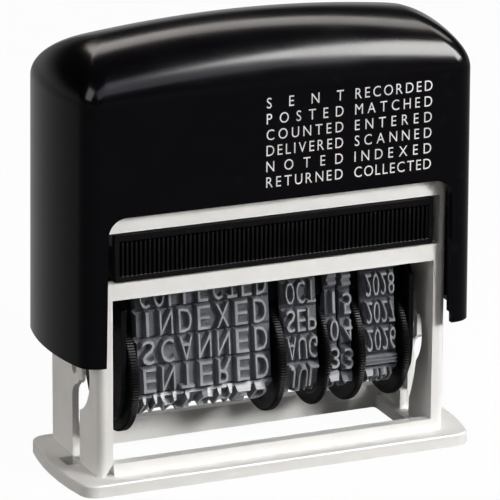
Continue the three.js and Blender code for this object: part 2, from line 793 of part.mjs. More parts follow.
// The loop's outline in (y, z), moved outwards by an offset.
function bandOutline(offset) {
  const corner = printCornerRadius + offset;
  const wheel = bandWheelRadius + offset;
  return [
    ...arc(printFlatHalfDepth, bandCornerZ, corner, bandTilt, Math.PI / 2, cornerSteps),
    ...arc(-printFlatHalfDepth, bandCornerZ, corner, Math.PI / 2, Math.PI - bandTilt, cornerSteps),
    ...arc(0, wheelAxisZ, wheel, Math.PI - bandTilt, 2 * Math.PI + bandTilt, bandArcSteps),
  ];
}

// A point at a length along the loop from the middle of the print face, and an offset from it.
function bandPlace(length, offset) {
  const side = length < 0 ? -1 : 1;
  let left = Math.abs(length);
  if (left <= printFlatHalfDepth) {
    return point(length, bandCrownZ + offset);
  }
  left -= printFlatHalfDepth;
  if (left <= bandCornerLength) {
    const angle = Math.PI / 2 - left / printCornerRadius;
    const radius = printCornerRadius + offset;
    return point(side * (printFlatHalfDepth + radius * Math.cos(angle)),
      bandCornerZ + radius * Math.sin(angle));
  }
  left -= bandCornerLength;
  if (left <= bandSideLength) {
    const radius = printCornerRadius + offset;
    return point(
      side * (printFlatHalfDepth + radius * Math.cos(bandTilt) + left * Math.sin(bandTilt)),
      bandCornerZ + radius * Math.sin(bandTilt) - left * Math.cos(bandTilt));
  }
  left -= bandSideLength;
  const angle = bandTilt - left / bandWheelRadius;
  const radius = bandWheelRadius + offset;
  return point(side * radius * Math.cos(angle), wheelAxisZ + radius * Math.sin(angle));
}

// One raised row of type, from its foot inside the band to its printing face.
function typeRow(middle, pitch, x0, x1) {
  const half = (pitch * typeRowShare) / 2;
  const face = [];
  const root = [];
  for (let i = 0; i <= typeRowSteps; i += 1) {
    const length = middle - half + 2 * half * (i / typeRowSteps);
    face.push(bandPlace(length, typeHeight));
    root.unshift(bandPlace(length, -bandThickness / 2));
  }
  return prismAlongX([...root, ...face].reverse(), x0, x1);
}

function makeBand([x0, x1]) {
  const loop = prismAlongX(bandOutline(0), x0, x1);
  const inside = prismAlongX(bandOutline(-bandThickness), x0 - overrun, x1 + overrun);
  const pitch = bandLoopLength / bandRows;
  const rows = [];
  for (let i = 0; i < bandRows; i += 1) {
    const row = i - Math.floor((bandRows - 1) / 2);
    rows.push(typeRow(pitch * row, pitch, x0 + typeSideMargin, x1 - typeSideMargin));
  }
  return join([loop, ...rows]).subtract(inside);
}

// Ink cartridge

function gripRibField() {
  const half = gripPlateHalfLength - gripPlateBorderEnd;
  const pitch = (2 * half) / gripRibs;
  const ribHalf = (pitch * gripRibShare) / 2;
  const points = [point(half, frameFrontY + gripPlateThickness / 2)];
  for (let i = gripRibs - 1; i >= 0; i -= 1) {
    const middle = -half + pitch * (i + 1 / 2);
    points.push(
      point(middle + ribHalf, frameFrontY),
      point(middle + ribHalf, frameFrontY - gripRibDepth),
      point(middle - ribHalf, frameFrontY - gripRibDepth),
      point(middle - ribHalf, frameFrontY));
  }
  points.push(point(-half, frameFrontY + gripPlateThickness / 2));
  return prismAlongZ(points.reverse(), frontSlotFloorZ + runningGap + gripPlateBorderBottom,
    slotTopZ - runningGap - gripPlateBorderTop);
}

function makeCartridge() {
  const plateLow = frontSlotFloorZ + runningGap;
  const plateHigh = slotTopZ - runningGap;
  const plateRearY = frameFrontY + gripPlateThickness;
  const plate = block([-gripPlateHalfLength, gripPlateHalfLength],
    [frameFrontY, plateRearY], [plateLow, plateHigh]);
  const body = block([-trayHalfLength, trayHalfLength], [plateRearY, trayRearY],
    [plateLow, trayRoofZ]);
  const rim = block([-trayHalfLength, trayHalfLength], [trayLipFrontY, trayRearY],
    [runnerTopZ + clearance, plateLow]);
  const pocketHalfLength = trayHalfLength - trayWall;
  const pocket = block([-pocketHalfLength, pocketHalfLength],
    [-feltHalfDepth - clearance, feltHalfDepth + clearance],
    [runnerTopZ - overrun, feltTopZ + clearance]);
  return join([plate, body, rim, gripRibField()]).subtract(pocket);
}

function makeFelt() {
  const half = trayHalfLength - trayWall - clearance;
  return block([-half, half], [-feltHalfDepth, feltHalfDepth], [feltBottomZ, feltTopZ]);
}

// The places of the wheels and bands along X, from the left end plate to the right.
function lanes() {
  let x = -plateInnerX + clearance;
  const rimThenBand = (rimWidth, bandWidth) => {
    const rim = [x, x + rimWidth];
    const band = [rim[1] + runningGap, rim[1] + runningGap + bandWidth];
    x = band[1] + clearance;
    return { rim, band, drum: [rim[1], band[1]] };
  };
  const bandThenRim = (bandWidth, rimWidth) => {
    const band = [x, x + bandWidth];
    const rim = [band[1] + runningGap, band[1] + runningGap + rimWidth];
    x = rim[1] + clearance;
    return { rim, band, drum: [band[0], rim[0]] };
  };
  return {
    phrase: rimThenBand(phraseRimWidth, phraseBandWidth),
    month: rimThenBand(monthRimWidth, monthBandWidth),
    day_tens: rimThenBand(dayTensRimWidth, dayBandWidth),
    day_units: bandThenRim(dayBandWidth, dayUnitsRimWidth),
    year: bandThenRim(yearBandWidth, yearRimWidth),
  };
}

// Materials

const whitePlastic = new THREE.MeshStandardMaterial({ color: 0xe9e6df, roughness: 0.45, metalness: 0 });
const blackGloss = new THREE.MeshStandardMaterial({ color: 0x141216, roughness: 0.12, metalness: 0 });
const blackSatin = new THREE.MeshStandardMaterial({ color: 0x1b1a1e, roughness: 0.45, metalness: 0 });
const bandRubber = new THREE.MeshStandardMaterial({ color: 0x5c6370, roughness: 0.7, metalness: 0 });
const steel = new THREE.MeshStandardMaterial({ color: 0xa8abb0, roughness: 0.3, metalness: 1 });
const inkedFelt = new THREE.MeshStandardMaterial({ color: 0x16161c, roughness: 0.95, metalness: 0 });

// Assembly

const stamp = new THREE.Group();
stamp.name = 'phrase_date_stamp';

function addPiece(name, solid, material) {
  const mesh = new THREE.Mesh(toGeometry(solid), material);
  mesh.name = name;
  stamp.add(mesh);
}

addPiece('base_foot', makeFoot(), whitePlastic);
addPiece('frame', makeFrame(), whitePlastic);
addPiece('return_spring', makeSpring(), steel);
addPiece('cap', makeCap(), blackGloss);
addPiece('yoke', makeYoke(), blackSatin);
addPiece('end_plate_right', makeEndPlate(), blackSatin);
addPiece('end_plate_left', mirrorX(makeEndPlate()), blackSatin);
addPiece('print_bridge', makeBridge(), blackSatin);
addPiece('wheel_axle', makeAxle(), steel);
Object.entries(lanes()).forEach(([name, lane]) => {
  addPiece(`wheel_${name}`, makeWheel(lane), blackSatin);
  addPiece(`band_${name}`, makeBand(lane.band), bandRubber);
});
addPiece('ink_cartridge', makeCartridge(), blackSatin);
addPiece('ink_felt', makeFelt(), inkedFelt);

export default stamp;
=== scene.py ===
"""Phrase date stamp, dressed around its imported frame: lettered bands, knurled wheels, gloss cap."""

import logging
import math
from collections.abc import Callable, Iterable, Iterator, Sequence
from contextlib import contextmanager
from dataclasses import dataclass, field
from enum import Enum

import bmesh
import bpy
from mathutils import Matrix, Vector


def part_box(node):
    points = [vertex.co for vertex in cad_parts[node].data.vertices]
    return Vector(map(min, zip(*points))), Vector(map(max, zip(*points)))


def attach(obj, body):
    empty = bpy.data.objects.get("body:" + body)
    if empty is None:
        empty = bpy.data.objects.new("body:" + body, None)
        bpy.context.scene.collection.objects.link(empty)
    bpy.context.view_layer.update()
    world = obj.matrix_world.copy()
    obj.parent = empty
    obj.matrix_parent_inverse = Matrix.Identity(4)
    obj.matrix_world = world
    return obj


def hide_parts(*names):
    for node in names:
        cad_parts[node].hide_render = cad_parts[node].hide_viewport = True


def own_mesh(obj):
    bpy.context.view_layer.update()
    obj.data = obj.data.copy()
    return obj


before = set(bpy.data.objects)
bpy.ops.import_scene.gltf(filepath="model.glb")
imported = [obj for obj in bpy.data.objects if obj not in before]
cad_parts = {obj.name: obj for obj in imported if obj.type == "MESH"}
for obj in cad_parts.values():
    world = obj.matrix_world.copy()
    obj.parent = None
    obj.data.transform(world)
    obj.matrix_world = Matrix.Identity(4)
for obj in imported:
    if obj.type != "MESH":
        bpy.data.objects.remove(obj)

MM = 0.001
TURN = 2 * math.pi
QUARTER = math.pi / 2
MERGE_POINTS = 0.0005 * MM
MERGE_SOLID = 0.001 * MM
FLAT_ANGLE = math.radians(0.8)
FACE_LEVEL = 0.9

Color = tuple[float, float, float]
Point2 = tuple[float, float]
Point3 = tuple[float, float, float]
Faces = Sequence[Sequence[int]]
Socket = bpy.types.NodeSocket
Sockets = bpy.types.bpy_prop_collection
Object = bpy.types.Object
Mesh = bpy.types.Mesh

log = logging.getLogger("phrase_date_stamp")


class Body(Enum):
    """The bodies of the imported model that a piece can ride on."""

    FRAME = "frame"
    CAP = "cap"
    CARRIER = "carrier"
    PHRASE_WHEEL = "phrase_wheel"
    MONTH_WHEEL = "month_wheel"
    DAY_TENS_WHEEL = "day_tens_wheel"
    DAY_UNITS_WHEEL = "day_units_wheel"
    YEAR_WHEEL = "year_wheel"
    PAD = "pad"


class Slot(Enum):
    """The record's material slots."""

    WHITE_PLASTIC = "white_plastic"
    GLOSS_BLACK = "gloss_black"
    SATIN_BLACK = "satin_black"
    BAND_RUBBER = "band_rubber"
    SPRING_STEEL = "spring_steel"
    INKED_FELT = "inked_felt"


class Side(Enum):
    """The side of a band on which its wheel's rim stands; the value points to the band."""

    LEFT = 1
    RIGHT = -1


class Mask(Enum):
    """What varies over a surface: the grain group's outputs, and a mesh attribute of the bands that
    holds their painted shade and light.
    """

    HEIGHT = "Height"
    MOTTLING = "Mottling"
    DUST = "Dust"
    # The bands' attribute is painted shade and light: 0 darkest in the gaps, 1 palest on the type's
    # faces.
    RISE = "rise"


# Node helpers


@dataclass
class Nodes:
    """Adds nodes to one shader or geometry tree, and links them."""

    tree: bpy.types.NodeTree

    def add(self, kind: str, inputs: dict[str | int, object] | None = None,
            **settings: object) -> bpy.types.Node:
        """Adds a node.

        Args:
            kind: the node's type name.
            inputs: what each input that is fed gets, a socket or a value.
            **settings: the node's properties.

        Returns:
            The new node.
        """
        node = self.tree.nodes.new(kind)
        for name, value in settings.items():
            setattr(node, name, value)
        for key, value in (inputs or {}).items():
            self.feed(node.inputs[key], value)
        return node

    def feed(self, target: Socket, value: object) -> None:
        """Links an input, or sets its own value.

        Args:
            target: the input.
            value: an output, a number, a vector or a colour of three numbers.
        """
        if isinstance(value, Socket):
            self.tree.links.new(value, target)
        else:
            target.default_value = (*value, 1.0) if target.type == "RGBA" else value

    def math(self, operation: str, *values: object) -> Socket:
        """Gives the result of a Math node on sockets or numbers."""
        return self.add("ShaderNodeMath", dict(enumerate(values)), operation=operation).outputs[0]

    def noise(self, vector: Socket, scale: object, detail: float) -> Socket:
        """Gives a noise texture's value; its scale is in cells per metre."""
        inputs = {"Vector": vector, "Scale": scale, "Detail": detail}
        return self.add("ShaderNodeTexNoise", inputs).outputs["Fac"]

    def spread(self, value: Socket, low: Point2, high: Point2) -> Socket:
        """Maps a value, clamped; low and high each hold a value and what it becomes."""
        return self.add("ShaderNodeMapRange", {
            "Value": value, "From Min": low[0], "To Min": low[1], "From Max": high[0],
            "To Max": high[1]}).outputs["Result"]

    def mix(self, share: object, first: object, second: object) -> Socket:
        """Mixes two colours by the second one's share; each is a socket or a value."""
        inputs = {0: share, 6: first, 7: second}
        return self.add("ShaderNodeMix", inputs, data_type="RGBA").outputs[2]

    def vector(self, axis: str, value: Socket) -> Socket:
        """Gives a vector along one axis."""
        return self.add("ShaderNodeCombineXYZ", {axis: value}).outputs[0]


def new_group(name: str, kind: str, given: dict[str, str],
              put_out: dict[str, str]) -> tuple[Nodes, Sockets, Sockets]:
    """Makes a node group.

    Args:
        name: its name.
        kind: the tree's type name.
        given: each input's type, by name.
        put_out: each output's type, by name.

    Returns:
        Its nodes, the sockets that bring its inputs and those that take its outputs.
    """
    tree = bpy.data.node_groups.new(name, kind)
    for side, sockets in (("INPUT", given), ("OUTPUT", put_out)):
        for socket, type_name in sockets.items():
            tree.interface.new_socket(socket, in_out=side, socket_type=f"NodeSocket{type_name}")
    nodes = Nodes(tree)
    return nodes, nodes.add("NodeGroupInput").outputs, nodes.add("NodeGroupOutput").inputs


def emptied(owner: bpy.types.Material | bpy.types.World) -> Nodes:
    """Clears the nodes of a material or a world.

    Args:
        owner: the material or world.

    Returns:
        Its empty tree's nodes.
    """
    owner.use_nodes = True
    owner.node_tree.nodes.clear()
    return Nodes(owner.node_tree)


# Finishes


@dataclass(frozen=True)
class GrainGroup:
    """A node group with the fine grain of moulded plastic and rubber, used by every finish.

    Attributes:
        cloud_share: the mottling's scale as a share of the grain's.
        mottled: the noise values where the mottling starts and is full.
        dusted: the noise values where a speck of dust starts and is full.
    """

    name: str = "moulded_grain"
    cloud_share: float = 0.12
    mottled: Point2 = (0.35, 0.65)
    dusted: Point2 = (0.66, 0.74)

    def build(self) -> bpy.types.NodeTree:
        """Builds the group once.

        Returns:
            The group: a fine height, a broad mottling and a sparse dust mask.
        """
        if found := bpy.data.node_groups.get(self.name):
            return found
        nodes, given, put_out = new_group(
            self.name, "ShaderNodeTree", {"Scale": "Float", "Dust Scale": "Float"},
            dict.fromkeys(("Height", "Mottling", "Dust"), "Float"))
        place = nodes.add("ShaderNodeTexCoord").outputs["Object"]
        nodes.feed(put_out[Mask.HEIGHT.value], nodes.noise(place, given["Scale"], 4.0))
        cloud_scale = nodes.math("MULTIPLY", given["Scale"], self.cloud_share)
        for mask, scale, detail, (low, high) in (
                (Mask.MOTTLING, cloud_scale, 2.0, self.mottled),
                (Mask.DUST, given["Dust Scale"], 1.0, self.dusted)):
            noise = nodes.noise(place, scale, detail)
            nodes.feed(put_out[mask.value], nodes.spread(noise, (low, 0.0), (high, 1.0)))
        return nodes.tree


@dataclass(frozen=True)
class Coat:
    """A finished material, and the record's slot that it stands for."""

    slot: Slot
    material: bpy.types.Material


@dataclass(frozen=True)
class Layer:
    """A colour over what lies under it, where a mask shows it.

    Attributes:
        share: how much of it shows, at most.
        rise: for the bands' painted shade and light, the values where the colour starts and is full.
    """

    mask: Mask
    color: Color
    share: float = 1.0
    rise: Point2 = (0.0, 1.0)

    def seen(self, nodes: Nodes, grain: Sockets) -> Socket:
        """Tells how far the layer covers what lies under it.

        Args:
            nodes: the material's nodes.
            grain: the grain's masks.

        Returns:
            The layer's share over the surface.
        """
        # The bands' attribute gives painted shade in the gaps and painted light on the raised type.
        if self.mask is Mask.RISE:
            rise = nodes.add("ShaderNodeAttribute", attribute_name=self.mask.value).outputs["Fac"]
            return nodes.spread(rise, (self.rise[0], 0.0), (self.rise[1], 1.0))
        mask = grain[self.mask.value]
        return mask if self.share == 1.0 else nodes.math("MULTIPLY", mask, self.share)


@dataclass(frozen=True)
class Finish:
    """A finish of moulded plastic, rubber, drawn steel or felt: one tone under thin layers.

    Attributes:
        layers: the colours over its tone, from the lowest.
        roughness: the roughness where the mask that it follows is 0 and 1.
        grain: grain cells per metre.
        dust_grain: cells of the dust's noise per metre.
        relief: the strength of the grain's bump.
        depth: the bump's height, in metres.
    """

    slot: Slot
    name: str
    color: Color
    layers: tuple[Layer, ...]
    roughness: Point2
    grain: float
    dust_grain: float
    relief: float
    depth: float = 0.02 * MM
    roughness_mask: Mask = Mask.MOTTLING
    specular: float = 0.5
    metallic: float = 0.0
    sheen: float = 0.0

    def build(self) -> Coat:
        """Builds the material.

        Returns:
            The material with its slot.
        """
        material = bpy.data.materials.new(self.name)
        nodes = emptied(material)
        scales = {"Scale": self.grain, "Dust Scale": self.dust_grain}
        grain = nodes.add("ShaderNodeGroup", scales, node_tree=GrainGroup().build()).outputs
        tone: object = self.color
        for layer in self.layers:
            tone = nodes.mix(layer.seen(nodes, grain), tone, layer.color)
        low, high = self.roughness
        bump = nodes.add("ShaderNodeBump", {
            "Strength": self.relief, "Distance": self.depth, "Height": grain[Mask.HEIGHT.value]})
        shader = nodes.add("ShaderNodeBsdfPrincipled", {
            "Base Color": tone, "Normal": bump.outputs["Normal"],
            "Roughness": nodes.spread(grain[self.roughness_mask.value], (0.0, low), (1.0, high)),
            "Specular IOR Level": self.specular, "Metallic": self.metallic,
            "Sheen Weight": self.sheen})
        nodes.add("ShaderNodeOutputMaterial", {"Surface": shader.outputs["BSDF"]})
        return Coat(self.slot, material)


def plastic(slot: Slot, name: str, color: Color, shade: Color, dust: Color, dust_share: float,
            roughness: Point2, specular: float, grain: float, relief: float) -> Finish:
    """Gives a moulded plastic, mottled with a shade and finely dusted."""
    layers = (Layer(Mask.MOTTLING, shade), Layer(Mask.DUST, dust, dust_share))
    return Finish(slot, name, color, layers, roughness, grain, grain / 2, relief, specular=specular)


WHITE_PLASTIC = plastic(
    Slot.WHITE_PLASTIC, "white_plastic", color=(0.86, 0.855, 0.835), shade=(0.83, 0.822, 0.80),
    dust=(0.66, 0.64, 0.60), dust_share=0.08, roughness=(0.38, 0.5), specular=0.4,
    grain=1800.0, relief=0.12)
GLOSS_BLACK = plastic(
    Slot.GLOSS_BLACK, "gloss_black", color=(0.0022, 0.0017, 0.0028),
    shade=(0.0014, 0.0011, 0.0020), dust=(0.03, 0.03, 0.034), dust_share=0.06,
    roughness=(0.16, 0.20), specular=0.05, grain=900.0, relief=0.03)
SATIN_BLACK = plastic(
    Slot.SATIN_BLACK, "satin_black", color=(0.0032, 0.0028, 0.0036),
    shade=(0.0020, 0.0018, 0.0024), dust=(0.05, 0.05, 0.055), dust_share=0.10,
    roughness=(0.36, 0.48), specular=0.06, grain=2400.0, relief=0.25)
PRINT_WHITE = plastic(
    Slot.WHITE_PLASTIC, "printed_white", color=(0.86, 0.86, 0.85), shade=(0.80, 0.80, 0.79),
    dust=(0.6, 0.6, 0.6), dust_share=0.1, roughness=(0.5, 0.6), specular=0.2,
    grain=2400.0, relief=0.1)
# The bands' tone is painted shade and light: darkest in the gaps, paler up the pads and flanks,
# palest on the type's faces.
BAND_GAP_SHADE = (0.022, 0.023, 0.034)
BAND_RUBBER = Finish(
    Slot.BAND_RUBBER, "band_rubber", color=BAND_GAP_SHADE, layers=(
        # Painted light: paler up the flanks and pads, palest on the type's faces.
        Layer(Mask.RISE, (0.19, 0.20, 0.217), rise=(0.05, 0.6)),
        Layer(Mask.RISE, (0.33, 0.34, 0.36), rise=(0.82, 0.98)),
        Layer(Mask.MOTTLING, BAND_GAP_SHADE, 0.35), Layer(Mask.DUST, (0.42, 0.43, 0.45), 0.4)),
    roughness=(0.42, 0.68), roughness_mask=Mask.HEIGHT, specular=0.45,
    grain=2600.0, dust_grain=4200.0, relief=0.5, depth=0.04 * MM)
SPRING_STEEL = Finish(
    Slot.SPRING_STEEL, "spring_steel", color=(0.55, 0.56, 0.58),
    layers=(Layer(Mask.MOTTLING, (0.38, 0.39, 0.42)),), roughness=(0.2, 0.4),
    roughness_mask=Mask.HEIGHT, metallic=1.0, grain=3000.0, dust_grain=1500.0, relief=0.3,
    depth=0.01 * MM)
INKED_FELT = Finish(
    Slot.INKED_FELT, "inked_felt", color=(0.012, 0.012, 0.02),
    layers=(Layer(Mask.MOTTLING, (0.004, 0.004, 0.008)),), roughness=(0.95, 0.55), sheen=0.3,
    grain=5200.0, dust_grain=5200.0, relief=0.9, depth=0.15 * MM)


@dataclass
class Finishes:
    """Every finish of the stamp, built once and shared."""

    white: Coat = field(default_factory=WHITE_PLASTIC.build)
    gloss: Coat = field(default_factory=GLOSS_BLACK.build)
    satin: Coat = field(default_factory=SATIN_BLACK.build)
    printed: Coat = field(default_factory=PRINT_WHITE.build)
    rubber: Coat = field(default_factory=BAND_RUBBER.build)
    steel: Coat = field(default_factory=SPRING_STEEL.build)
    felt: Coat = field(default_factory=INKED_FELT.build)


# Mesh helpers


def add_object(name: str, data: bpy.types.ID) -> Object:
    """Puts a mesh, text, lamp or camera in the scene, at the origin.

    Args:
        name: the object's name.
        data: what it shows.

    Returns:
        The object.
    """
    obj = bpy.data.objects.new(name, data)
    bpy.context.scene.collection.objects.link(obj)
    return obj


def remove(*objects: Object) -> None:
    """Deletes helper objects."""
    for obj in objects:
        bpy.data.objects.remove(obj)


@contextmanager
def edited(mesh: Mesh) -> Iterator[bmesh.types.BMesh]:
    """Opens a mesh for edits and writes them back.

    Args:
        mesh: the mesh.

    Yields:
        The mesh as it is edited.
    """
    edit = bmesh.new()
    edit.from_mesh(mesh)
    yield edit
    edit.to_mesh(mesh)
    edit.free()


def mesh_from(name: str, points: Sequence[Point3], faces: Faces) -> Object:
    """Makes an object of points and faces, with its normals turned outwards.

    Args:
        name: the object's name.
        points: the places of the vertices.
        faces: the vertices of each face.

    Returns:
        The object.
    """
    mesh = bpy.data.meshes.new(name)
    mesh.from_pydata(points, [], faces)
    with edited(mesh) as edit:
        bmesh.ops.remove_doubles(edit, verts=edit.verts, dist=MERGE_POINTS)
        bmesh.ops.recalc_face_normals(edit, faces=edit.faces)
    return add_object(name, mesh)


def copy_of(node: str, name: str) -> Object:
    """Copies a CAD node's mesh, merged and with its flat faces made whole.

    Args:
        node: the CAD node.
        name: the copy's name.

    Returns:
        The copy.
    """
    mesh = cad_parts[node].data.copy()
    mesh.materials.clear()
    with edited(mesh) as edit:
        bmesh.ops.remove_doubles(edit, verts=edit.verts, dist=MERGE_SOLID)
        bmesh.ops.dissolve_limit(edit, angle_limit=FLAT_ANGLE, verts=edit.verts, edges=edit.edges)
    return add_object(name, mesh)


def evaluated_mesh(obj: Object) -> Mesh:
    """Gives the mesh that an object's text or modifiers make."""
    depsgraph = bpy.context.evaluated_depsgraph_get()
    return bpy.data.meshes.new_from_object(obj.evaluated_get(depsgraph), depsgraph=depsgraph)


def bake_modifiers(obj: Object) -> None:
    """Makes an object's modifiers part of its mesh, and removes them.

    Args:
        obj: the object.
    """
    baked = evaluated_mesh(obj)
    obj.modifiers.clear()
    obj.data = baked


def modify(obj: Object, kind: str, **settings: object) -> None:
    """Makes one modifier's result an object's mesh.

    Args:
        obj: the object.
        kind: the modifier's type name.
        **settings: the modifier's properties.
    """
    modifier = obj.modifiers.new(kind.lower(), kind)
    for name, value in settings.items():
        setattr(modifier, name, value)
    bake_modifiers(obj)


def combine(target: Object, other: Object, operation: str) -> Object:
    """Joins, cuts or keeps the common part of two closed meshes.

    Args:
        target: the mesh that is changed.
        other: the second one, which is deleted.
        operation: UNION, DIFFERENCE or INTERSECT.

    Returns:
        The first one.
    """
    modify(target, "BOOLEAN", operation=operation, solver="EXACT", object=other)
    remove(other)
    return target


def round_edges(obj: Object, width: float, segments: int = 2, angle: float = 32.0,
                heavier: Callable[[Vector, Vector], float] | None = None) -> None:
    """Rounds the sharp edges of a mesh and smooths its curved faces.

    Args:
        obj: the object.
        width: the widest rounding, in metres.
        segments: steps in each rounding.
        angle: the smallest angle, in degrees, that counts as an edge.
        heavier: gives each edge's share of the width from its two ends; one if left out.
    """
    with edited(obj.data) as edit:
        weights = edit.edges.layers.float.new("bevel_weight_edge")
        for edge in edit.edges:
            if len(edge.link_faces) == 2 and edge.calc_face_angle(0.0) > math.radians(angle):
                ends = [vert.co for vert in edge.verts]
                edge[weights] = heavier(*ends) if heavier else 1.0
    modify(obj, "BEVEL", limit_method="WEIGHT", width=width, segments=segments)
    smooth(obj)


def smooth(obj: Object, angle: float = 40.0) -> None:
    """Shades a mesh smoothly, apart from its sharp edges, with its flat faces kept flat.

    Args:
        obj: the object.
        angle: the smallest angle, in degrees, of a sharp edge.
    """
    obj.data.shade_smooth()
    obj.data.set_sharp_from_angle(angle=math.radians(angle))
    modify(obj, "WEIGHTED_NORMAL", keep_sharp=True, weight=100)


def lofted(rings: int, count: int, closed: bool = False) -> list[tuple[int, ...]]:
    """Gives the faces between rings of points.

    Args:
        rings: how many rings there are.
        count: the points in each ring.
        closed: whether the last ring joins the first.

    Returns:
        The vertices of each face.
    """
    total = rings * count
    return [(i * count + j, i * count + (j + 1) % count,
             ((i + 1) * count + (j + 1) % count) % total, ((i + 1) * count + j) % total)
            for i in range(rings if closed else rings - 1) for j in range(count)]


def box_mesh(name: str, low: Sequence[float], high: Sequence[float]) -> Object:
    """Makes a box from its lowest and highest corners, as a base to cut or round."""
    points = [(a[0], b[1], c[2]) for a in (low, high) for b in (low, high) for c in (low, high)]
    return mesh_from(name, points, [(0, 1, 3, 2), (4, 6, 7, 5), (0, 4, 5, 1),
                                    (2, 3, 7, 6), (0, 2, 6, 4), (1, 5, 7, 3)])


def arc(a: float, b: float, radius: float, start: float, end: float, steps: int) -> list[Point2]:
    """Gives points along an arc, both ends included.

    Args:
        a: the centre's first coordinate.
        b: the centre's second coordinate.
        radius: the arc's radius.
        start: the first angle.
        end: the last angle.
        steps: how many steps it takes.

    Returns:
        The points.
    """
    angles = [start + (end - start) * i / steps for i in range(steps + 1)]
    return [(a + radius * math.cos(angle), b + radius * math.sin(angle)) for angle in angles]


def prism(name: str, outline: Sequence[Point2], low: float, high: float,
          order: tuple[int, int, int] = (0, 1, 2)) -> Object:
    """Pushes an outline along a line, upwards if nothing else is said.

    Args:
        name: the object's name.
        outline: the outline's points.
        low: where the push starts.
        high: where it ends.
        order: which of the outline's two coordinates and the push is x, y and z.

    Returns:
        The object.
    """
    count = len(outline)
    places = [(a, b, push) for push in (low, high) for a, b in outline]
    points = [tuple(place[i] for i in order) for place in places]
    return mesh_from(name, points, [range(count), range(count, 2 * count), *lofted(2, count)])


def rod_along_z(name: str, radius: float, x: float, low: float, high: float,
                sides: int = 48) -> Object:
    """Makes an upright rod on the plane y = 0."""
    last = TURN * (sides - 1) / sides
    return prism(name, arc(x, 0.0, radius, 0.0, last, sides - 1), low, high)


def letter_mesh(sign: str, **settings: object) -> Mesh:
    """Makes a letter in Blender's own built-in typeface.

    Args:
        sign: the letter.
        **settings: the text's properties.

    Returns:
        The letter's mesh, in the typeface's own units.
    """
    text = bpy.data.curves.new(f"letter_{ord(sign)}", "FONT")
    for name, value in {"body": sign, **settings}.items():
        setattr(text, name, value)
    helper = add_object(text.name, text)
    mesh = evaluated_mesh(helper)
    remove(helper)
    return mesh


def extent(places: Iterable[Vector], axis: int) -> Point2:
    """Gives the lowest and highest coordinate along one axis."""
    along = [place[axis] for place in places]
    return min(along), max(along)


def dress(obj: Object, body: Body, coat: Coat, *nodes: str) -> None:
    """Gives a finished piece its material and body, and hides the CAD nodes that it stands for.

    Args:
        obj: the piece.
        body: the body that it rides on.
        coat: its material and slot.
        *nodes: CAD nodes that it replaces.
    """
    obj.data.materials.clear()
    obj.data.materials.append(coat.material)
    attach(obj, body.value)
    if nodes:
        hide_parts(*nodes)
    log.info("%s: %d faces on %s", obj.name, len(obj.data.polygons), body.value)


# Geometry trees


class PieceTree:
    """A geometry tree that makes or adds to a piece's mesh.

    Attributes:
        sizes: its own inputs' types, by name.
    """

    name: str
    sizes: dict[str, str]

    def __init__(self) -> None:
        """Starts the tree with its inputs, and has the rest of it laid out."""
        shape = {"Geometry": "Geometry"}
        self.nodes, self.given, self.put_out = new_group(
            self.name, "GeometryNodeTree", {**shape, **self.sizes, "Material": "Material"}, shape)
        realized = self.nodes.add("GeometryNodeRealizeInstances", {0: self.shape()})
        painted = self.nodes.add("GeometryNodeSetMaterial", {
            "Geometry": realized.outputs[0], "Material": self.given["Material"]})
        self.nodes.feed(self.put_out[0], painted.outputs[0])

    def shape(self) -> Socket:
        """Lays out the nodes that make the shape, and gives their last output."""
        raise NotImplementedError

    def run(self, obj: Object, material: bpy.types.Material, **values: object) -> None:
        """Makes the tree's result an object's mesh.

        Args:
            obj: the object.
            material: the piece's material.
            **values: the tree's own inputs, by their names in small letters.
        """
        values["material"] = material
        modifier = obj.modifiers.new(self.name, "NODES")
        modifier.node_group = self.nodes.tree
        for item in self.nodes.tree.interface.items_tree:
            key = item.name.lower().replace(" ", "_")
            if item.in_out == "INPUT" and key in values:
                modifier[item.identifier] = values[key]
        bake_modifiers(obj)


class RibTree(PieceTree):
    """Joins repeated ribs to the mesh that it is put on."""

    def joined(self, ribs: Socket) -> Socket:
        """Joins the ribs to the given mesh.

        Args:
            ribs: the repeated ribs.

        Returns:
            The whole shape.
        """
        joined = self.nodes.add("GeometryNodeJoinGeometry")
        for part in (self.given["Geometry"], ribs):
            self.nodes.feed(joined.inputs[0], part)
        return joined.outputs[0]

    def ribs(self, line: dict[str, object], more: dict[str, object]) -> Socket:
        """Puts the rib on each point of a line.

        Args:
            line: the line's inputs, apart from its count.
            more: the instances' further inputs.

        Returns:
            The repeated ribs.
        """
        points = self.nodes.add("GeometryNodeMeshLine", {"Count": self.given["Count"], **line})
        rib = self.nodes.add("GeometryNodeObjectInfo", {"Object": self.given["Rib"]})
        return self.nodes.add("GeometryNodeInstanceOnPoints", {
            "Points": points.outputs["Mesh"], "Instance": rib.outputs["Geometry"],
            **more}).outputs[0]


class RimRibs(RibTree):
    """Repeats a rib round a line along X at a height."""

    name = "ribs_round_rim"
    sizes = {"Rib": "Object", "Count": "Int", "Axis Height": "Float"}

    def shape(self) -> Socket:
        """Turns a rib to each step of the circle.

        Returns:
            The whole shape.
        """
        nodes = self.nodes
        index = nodes.add("GeometryNodeInputIndex").outputs[0]
        step = nodes.math("DIVIDE", TURN, self.given["Count"])
        turned = nodes.vector("X", nodes.math("MULTIPLY", index, step))
        ribs = self.ribs({"Offset": (0.0, 0.0, 0.0)}, {"Rotation": turned})
        lift = nodes.vector("Z", self.given["Axis Height"])
        moved = nodes.add("GeometryNodeTransform", {"Geometry": ribs, "Translation": lift})
        return self.joined(moved.outputs[0])


